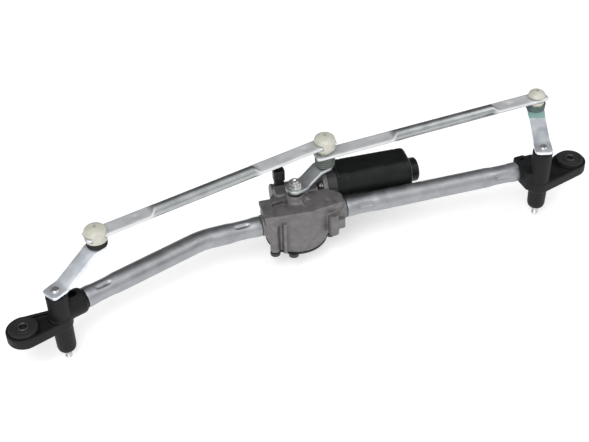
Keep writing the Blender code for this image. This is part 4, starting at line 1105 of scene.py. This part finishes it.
def gearbox_casting():
    """Die-cast bowl for the worm wheel, with a deck, a worm tunnel, a motor flange and two spigots."""
    corners = [math.atan2(y, x) for x, y in DECK_OUTLINE]
    angles = sorted(set(round(t, 6) for t in corners + [math.pi * k / 32 for k in range(-31, 33)]))
    rim = deck_rim(angles)

    def level(z, share, inset=0.0):
        reach = [r * (1 - share) + BOWL_R * share - inset for r in rim]
        return [(r * math.cos(t), r * math.sin(t), z) for r, t in zip(reach, angles)]

    bowl = loft([level(BOWL_BOTTOM, 1.0), level(BOWL_BOTTOM + 3.0, 0.92), level(-10, 0.45), level(8, 0.08),
                 level(DECK_TOP - 6, 0.0), level(DECK_TOP, 0.0)])
    lip = rod_between(38.3, BOWL_BOTTOM, BOWL_BOTTOM + 2.4, 64)
    at_worm = Matrix.Translation((0, WORM_ROW, WORM.z)) @ TURN_Z_TO_X
    tunnel = placed(rod_between(13.0, TUNNEL_END, FLANGE_X + 1), at_worm)
    collar = placed(rod_between(13.6, TUNNEL_END, TUNNEL_END + 3), at_worm)
    web = box((-22, 31), (2, WORM_ROW), (-8, DECK_TOP - 3))
    wall_top = CAVITY_TOP + 2
    back_wall = lathe([(0, BOWL_BOTTOM), (BOWL_R, BOWL_BOTTOM), (32.0, wall_top), (0, wall_top)], 64)
    back_wall = cut(back_wall, box((-60, 60), (-60, -2), (-60, 60)))
    raised = rounded_box((-21.5, 31), (8, 27), (0, DECK_TOP + 2), 3.0)
    flange = loft([flat_sided(CAN_R + 1, CAN_HALF_HEIGHT + 2, x, 72)
                   for x in (FLANGE_X, FLANGE_X + FLANGE_T)])
    moved(flange, 0, WORM_ROW, WORM.z)
    boss = lathe([(0, 10), (13.5, 10), (13.2, DECK_TOP), (12.0, DECK_TOP + 3), (11.0, DECK_TOP + 6),
                  (10.0, DECK_TOP + 8), (0, DECK_TOP + 8)])
    solids = [bowl, back_wall, lip, tunnel, collar, web, raised, flange, boss,
              moved(rod_between(6.5, -22, 8), *EAR),
              moved(rounded_box((-6, 14), (-4, 4), (-14, 0), 2.0), *EAR),
              box((-24, -20), (-37.5, -20), (BOWL_BOTTOM + 1, 12))]
    for x, y in COVER_SCREWS:
        solids.append(moved(rod_between(6.0, BOWL_BOTTOM, 6), x, y))
    for y in (-9, 9):        # ribs between the tunnel and the motor's flange
        rib = loft([[(FLANGE_X - 22, y + d, 8), (FLANGE_X + 1, y + d, 8), (FLANGE_X + 1, y + d, 22)]
                    for d in (-1.3, 1.3)])
        solids.append(moved(rib, 0, WORM_ROW))
    for x in (-2.0, 14.0, 27.0):     # stiffening ribs under the deck's front edge
        solids.append(loft([[(x + d, -16, BOWL_BOTTOM + 4), (x + d, -29.0 + 0.12 * max(0, x), DECK_TOP - 6),
                             (x + d, -16, DECK_TOP - 6)] for d in (-1.0, 1.0)]))
    for k in (0, 1, 2, 4, 6, 7):     # ribs round the output boss, none beside the pocket
        rib = loft([[(9, d, DECK_TOP - 2), (18.5, d, DECK_TOP - 2), (18.5, d, DECK_TOP + 0.6),
                     (9, d, DECK_TOP + 5)] for d in (-0.9, 0.9)])
        solids.append(placed(rib, Matrix.Rotation(math.radians(22 + 45 * k), 4, "Z")))
    for corner_pair in (LEFT_TUBE[::-1], RIGHT_TUBE[::-1]):
        end, other = Vector((*corner_pair[0], 0)), Vector((*corner_pair[1], 0))
        out = (other - end).normalized()
        face = end - out * 0.8
        to_gearbox = GEARBOX.inverted() @ along(face, face + out)
        solids.append(placed(lathe([(0, -12), (12.9, -12), (12.9, -0.6), (12.3, 0), (0, 0)]), to_gearbox))
        solids.append(placed(rod_between(8.6, -8, 26), to_gearbox))
    pocket = placed(prism(two_circle_outline((-4.5, 0), 5.2, (4.5, 0), 5.2001, 10), 13.6, 40),
                    Matrix.Translation((-21, -6, 0)) @ Matrix.Rotation(math.radians(10), 4, "Z"))
    low = BOWL_BOTTOM - 5
    cavity = lathe([(0, low), (35.1, low), (28.5, CAVITY_TOP), (0, CAVITY_TOP)], 64)
    hollows = [pocket, box((-50, -39), (0, 11), (5, 14)), cavity]
    for x, y, r in ((36, -16, 3.0), (8, -22, 3.0), (-37, -20, 2.6)):     # ejector marks in the deck
        hollows.append(moved(rod_between(r, DECK_TOP - 0.5, 40), x, y))
    body = casting(solids, hollows, [placed(rod_between(6.5, TUNNEL_END + 1.5, 60), at_worm)], 0.8, 5, 0.42)
    body = cut(body, rod_between(8.3, 5, 60))
    holes = [moved(rod_between(2.5, -40, -5, 24), *EAR)]
    holes += [moved(rod_between(2.3, -40, -16, 20), x, y) for x, y in COVER_SCREWS]
    body = cut(body, merged(*holes))
    holes = [placed(rod_between(2.8, 30, 50, 20), at_worm @ Matrix.Translation((-z, y, 0)))
             for y, z in MOTOR_SCREWS]
    return placed(cut(body, merged(*holes)), GEARBOX)


def bottom_cover():
    """Ribbed black cover under the bowl, with feet round its screws."""
    plate = lathe([(0, -37.5), (37.6, -37.5), (38.3, -36.8), (38.3, -35.2), (0, -35.2)], 72)
    shapes = [plate, lathe([(20, -38.6), (21.6, -38.6), (21.6, -36), (20, -36)], 64),
              rod_between(9.0, -38.8, -36)]
    for k in range(12):
        rib = box((8, 36), (-0.7, 0.7), (-38.6, -36.0))
        shapes.append(placed(rib, Matrix.Rotation(math.radians(15 + 30 * k), 4, "Z")))
    for x, y in COVER_SCREWS + [COVER_FOOT]:
        shapes.append(moved(rod_between(6.2, -40.0, -35.2), x, y))
    stepped = [(0, -60), (4.4, -60), (4.4, -37.2), (2.4, -37.2), (2.4, -30), (0, -30)]
    holes = [moved(lathe(stepped), x, y) for x, y in COVER_SCREWS]
    return placed(casting(shapes, [], holes, 0.6, 3, 0.5), GEARBOX)


def connector_shroud():
    """Oblong plug socket on a stepped neck, with keys inside and a latch nose outside."""
    (x0, x1), (y0, y1), (z0, z1) = (TOWER[k] for k in "xyz")
    wall, rim = 1.6, 2.2
    shroud = soften(rounded_box((x0, x1), (y0, y1), (z0 + 9, z1), 2.2), 0.35, 2, 50)
    neck = rounded_box((x0 + 1.2, x1 - 1.2), (y0 + 1.2, y1 - 1.2), (z0, z0 + 10), 1.6)
    band = rounded_box((x0, x1), (y0, y1), (z1 - 6.5, z1 - 6.5 + rim), 2.2)
    nose = loft([[(x, y0 - 1.3, z1 - 9), (x, y0 + 0.5, z1 - 9), (x, y0 + 0.5, z1 - 4), (x, y0, z1 - 4)]
                 for x in ((x0 + x1) / 2 - 2.4, (x0 + x1) / 2 + 2.4)])
    body = joined(shroud, neck, band, nose)
    room = rounded_box((x0 + wall, x1 - wall), (y0 + wall, y1 - wall), (z0 + 5, z1 + 5), 1.2)
    keyways = box(((x0 + x1) / 2 - 0.8, (x0 + x1) / 2 + 0.8), (y1 - 2.4, y1 - 1.0), (z1 - 9, z1 + 4))
    return placed(cut(body, room, keyways), GEARBOX)


def add_gearbox():
    write("gearbox_casting", gearbox_casting(), "frame", "casting", ["gearbox_housing"], 50)
    write("gearbox_bottom_cover", bottom_cover(), "frame", "black_plastic",
          ["gearbox_cover"], 50)
    for number, (x, y) in enumerate(COVER_SCREWS, 1):
        screw = placed(pan_screw(-39.6, -37.4, -17, 4.0, 2.0), GEARBOX @ Matrix.Translation((x, y, 0)))
        node = f"cover_screw_{number}"
        write(f"{node}_detail", screw, "frame", "steel", [node])
    write("connector_shroud", connector_shroud(), "frame", "black_plastic",
          ["connector_tower"])
    seal_low, seal_high = span("shaft_seal")
    low, high = seal_low.z, seal_high.z
    seal = lathe([(6.4, low + 0.3), (7.0, low), (9.1, low), (9.4, low + 0.3), (9.4, high - 0.4), (9.0, high),
                  (8.0, high - 0.5), (7.2, high - 0.4), (6.4, high - 0.9)])
    write("output_shaft_seal", placed(seal, GEARBOX), "frame", "rubber", ["shaft_seal"])


# ---- motor ------------------------------------------------------------------------------------------

def motor_can():
    """Drawn can with a crimped rim, rounded end, bearing dome, beads and two pressed dimples."""
    corner = 6.0
    profile = [(CAN_START, 0.2, 2.6), (CAN_START + 0.4, 0.6, 3.0), (CAN_START + 1.8, 0.6, 3.0),
               (CAN_START + 2.3, 0.3, 2.4), (CAN_START + 2.8, 0.0, 0.5), (CAN_START + 3.6, 0.0, 0.0)]
    count = 66
    first, last = CAN_START + 5, CAN_END - corner
    for k in range(count + 1):
        x = first + (last - first) * k / count
        bead = -0.45 * mound(x - (CAN_START + 12), 1.2) - 0.35 * mound(x - (CAN_END - 12), 1.2)
        profile.append((x, bead, bead))
    for k in range(1, 9):
        t = math.radians(90 * k / 8)
        inset = -corner * 0.75 * (1 - math.cos(t))
        profile.append((last + corner * math.sin(t), inset, inset))
    skin = []
    for x, wide, tall in profile:
        section = flat_sided(CAN_R + wide, CAN_HALF_HEIGHT + tall, x, 120, 1.6)
        for at in (CAN_START + 40, CAN_END - 30):
            section = [(x, y, z - math.copysign(0.7 * mound(math.hypot(x - at, y), 3.4, 3), z - CAN_LIFT))
                       for x, y, z in section]
        skin.append(section)
    dome = [(0, 144), (15.6, 144), (15.3, 152.4), (15.0, 153.2), (15.0, 161.6)]
    dome += arc_points(11.6, 161.6, 3.4, 0, 78, 7)
    dome += [(8.6, 165.6), (7.6, 164.9), (3.0, 164.9), (2.4, 165.7), (0, 165.8)]
    body = joined(loft(skin), placed(lathe(dome, 64), TURN_Z_TO_X))
    hollow = loft([flat_sided(CAN_R - CAN_WALL, CAN_HALF_HEIGHT - CAN_WALL, x, 60)
                   for x in (CAN_START - 5, CAN_END - 7)])
    body = cut(body, hollow, placed(rod_between(13.2, 136, 163.8), TURN_Z_TO_X))
    notches = []
    for k in range(4):       # crimps in the rim
        t, reach = math.radians(45 + 90 * k), CAN_R + 1.2
        notch = placed(rod_between(1.7, -2, 6, 20), TURN_Z_TO_X)
        notches.append(moved(notch, CAN_START + 0.2, reach * math.cos(t), CAN_LIFT + reach * math.sin(t)))
    return placed(cut(body, merged(*notches)), AT_MOTOR)


def add_motor():
    write("motor_can", motor_can(), "frame", "motor", ["motor_yoke"], 40)
    for number, (y, z) in enumerate(MOTOR_SCREWS, 1):
        head = placed(hex_head(6.4, 4.6, -37.6, -33.6), Matrix.Rotation(math.pi, 4, "X"))
        shank = turned([(37.4, 2.3)] + threaded(37.6, 43.4, 2.0, 2.35, 0.9) + [(44.0, 1.8)], 28)
        at = AT_MOTOR @ TURN_Z_TO_X @ Matrix.Translation((-z, y, 0))
        screw = placed(joined(head, shank), at)
        node = f"motor_screw_{number}"
        write(f"{node}_detail", screw, "frame", "steel", [node])


# ---- crank --------------------------------------------------------------------------------------------

def add_crank():
    low, high = span("crank_arm")

    def half(s):
        return 11.4 - 1.3 * smooth_step((s - 8) / 10) + 0.3 * smooth_step((s - CRANK_RADIUS + 14) / 8)
    arm = stamped_strip(CRANK_RADIUS, half, low.z, CRANK_TAB_Z, (12.0, 33.5), high.z - CRANK_TAB_Z,
                        11.4, 10.4)
    arm = cut(arm, rod_between(6.3, 20, 60), moved(rod_between(4.3, 20, 80), CRANK_RADIUS, 0))
    write("crank_arm_plate", placed(arm, CRANK), "crank", "arm", ["crank_arm"])
    nut = cut(hex_head(14.2, 8.6, 37.8, 44.8), rod_between(4.9, 30, 60))
    write("crank_flange_nut", placed(nut, CRANK), "crank", "steel", ["crank_nut"])
    stations = [(-27.0, 4.6), (-26.4, 5.2), (-25.8, 6.0), (36.6, 6.0), (37.0, 4.7)]
    stations += threaded(37.2, 46.0, 4.25, 4.75, 1.25)
    stations += [(46.3, 4.2), (46.6, 3.6)]
    centre = lathe([(0, 43.8), (1.1, 44.4), (1.1, 45.4), (2.3, 46.5), (2.3, 48), (0, 48)], 32)
    write("output_shaft_detail", placed(cut(turned(stations, 64), centre), GEARBOX), "crank",
          "steel", ["output_shaft"])


# ---- nodes that keep their CAD shape --------------------------------------------------------------------

KEPT = {
    "rubber": ["cover_gasket"],
    "bronze": ["left_upper_bush", "left_lower_bush", "right_upper_bush", "right_lower_bush", "output_bush",
               "front_bearing", "rear_bearing"],
    "copper": ["terminal_1", "terminal_2", "winding_front", "winding_rear", "commutator"],
    "black_plastic": ["brush_holder"],
    "carbon": ["brush_front", "brush_rear"],
    "ferrite": ["magnet_front", "magnet_rear"],
    "iron": ["armature_core"],
    "steel": ["armature_shaft"],
    "gear_plastic": ["worm_wheel"],
}


def finish_kept_nodes():
    for look, names in KEPT.items():
        for name in names:
            mesh = frame["nodes"][name].data
            mesh.materials.clear()
            mesh.materials.append(LOOKS[look])


# ---- floor, light and camera -------------------------------------------------------------------------

CAMERA_AT = Vector((-0.3887, -1.0036, 0.9782))
CAMERA_WAY = Vector((0.2672, 0.7128, -0.6485))
CAMERA_ROLL = math.radians(-1.83)
CAMERA_LENS = 71.6
FLOOR_SIZE = 8.0
SKY_LEAN = (-0.22, -0.62, 0.75)       # the way to the brightest part of the surroundings
BACKDROP = (0.93, 0.93, 0.93, 1)      # what the camera sees behind the floor


def add_floor():
    bm = bmesh.new()
    bmesh.ops.create_grid(bm, x_segments=8, y_segments=8, size=FLOOR_SIZE / 2)
    floor = as_object(bm, "studio_floor")
    look = Recipe("studio_floor")
    paper = look.noise(400, 2)
    tone = look.mix(look.ranged(paper, 0.3, 0.7), (0.72, 0.72, 0.72), (0.74, 0.74, 0.74))
    look.plug(look.shader.inputs["Emission Color"], (1.0, 1.0, 1.0))
    look.shader.inputs["Emission Strength"].default_value = 0.5
    floor.data.materials.append(look.finish(tone, 0.9))


def add_area_light(name, at, target, size, power):
    light = bpy.data.lights.new(name, "AREA")
    light.shape, light.size, light.energy = "DISK", size, power
    obj = bpy.data.objects.new(name, light)
    obj.location = at
    obj.rotation_euler = (Vector(target) - Vector(at)).to_track_quat("-Z", "Y").to_euler()
    bpy.context.scene.collection.objects.link(obj)


def add_studio():
    """Pale surroundings: bright above and in front, dimmer low down behind, to shape the metal."""
    world = bpy.data.worlds.new("studio")
    bpy.context.scene.world = world
    world.use_nodes = True
    tree = world.node_tree
    background = tree.nodes["Background"]
    coordinates = tree.nodes.new("ShaderNodeTexCoord")
    lean = tree.nodes.new("ShaderNodeVectorMath")
    lean.operation = "DOT_PRODUCT"
    lean.inputs[1].default_value = SKY_LEAN
    tree.links.new(coordinates.outputs["Generated"], lean.inputs[0])
    ramp = tree.nodes.new("ShaderNodeValToRGB")
    stops = ((0.0, 0.16), (0.42, 0.22), (0.62, 0.85), (1.0, 1.1))      # (position, brightness)
    ramp.color_ramp.elements.remove(ramp.color_ramp.elements[0])
    for position, value in stops:
        stop = ramp.color_ramp.elements.new(position)
        stop.color = (value, value, value * 1.01, 1)
    tree.links.new(lean.outputs["Value"], ramp.inputs["Fac"])
    seen = tree.nodes.new("ShaderNodeLightPath")
    pale = tree.nodes.new("ShaderNodeMix")
    pale.data_type = "RGBA"
    pale.inputs[7].default_value = BACKDROP
    tree.links.new(seen.outputs["Is Camera Ray"], pale.inputs[0])
    tree.links.new(ramp.outputs["Color"], pale.inputs[6])
    tree.links.new(pale.outputs[2], background.inputs["Color"])
    middle_of_part = (0, 0, 0.05)
    add_area_light("key", (-0.9, -1.2, 1.9), middle_of_part, size=1.1, power=22)
    add_area_light("fill", (1.4, -0.6, 1.4), middle_of_part, size=1.2, power=9)


def add_camera():
    data = bpy.data.cameras.new("camera")
    data.lens, data.sensor_width, data.sensor_fit = CAMERA_LENS, 36.0, "HORIZONTAL"
    data.dof.use_dof = False
    camera = bpy.data.objects.new("camera", data)
    camera.location = CAMERA_AT
    turn = CAMERA_WAY.to_track_quat("-Z", "Y").to_matrix() @ Matrix.Rotation(CAMERA_ROLL, 3, "Z")
    camera.rotation_euler = turn.to_euler()
    bpy.context.scene.collection.objects.link(camera)
    bpy.context.scene.camera = camera


add_tubes()
add_rods()
add_ball_joints()
add_levers()
add_pivots()
add_gearbox()
add_motor()
add_crank()
finish_kept_nodes()
add_floor()
add_studio()
add_camera()
bpy.context.scene.view_settings.view_transform = "Standard"
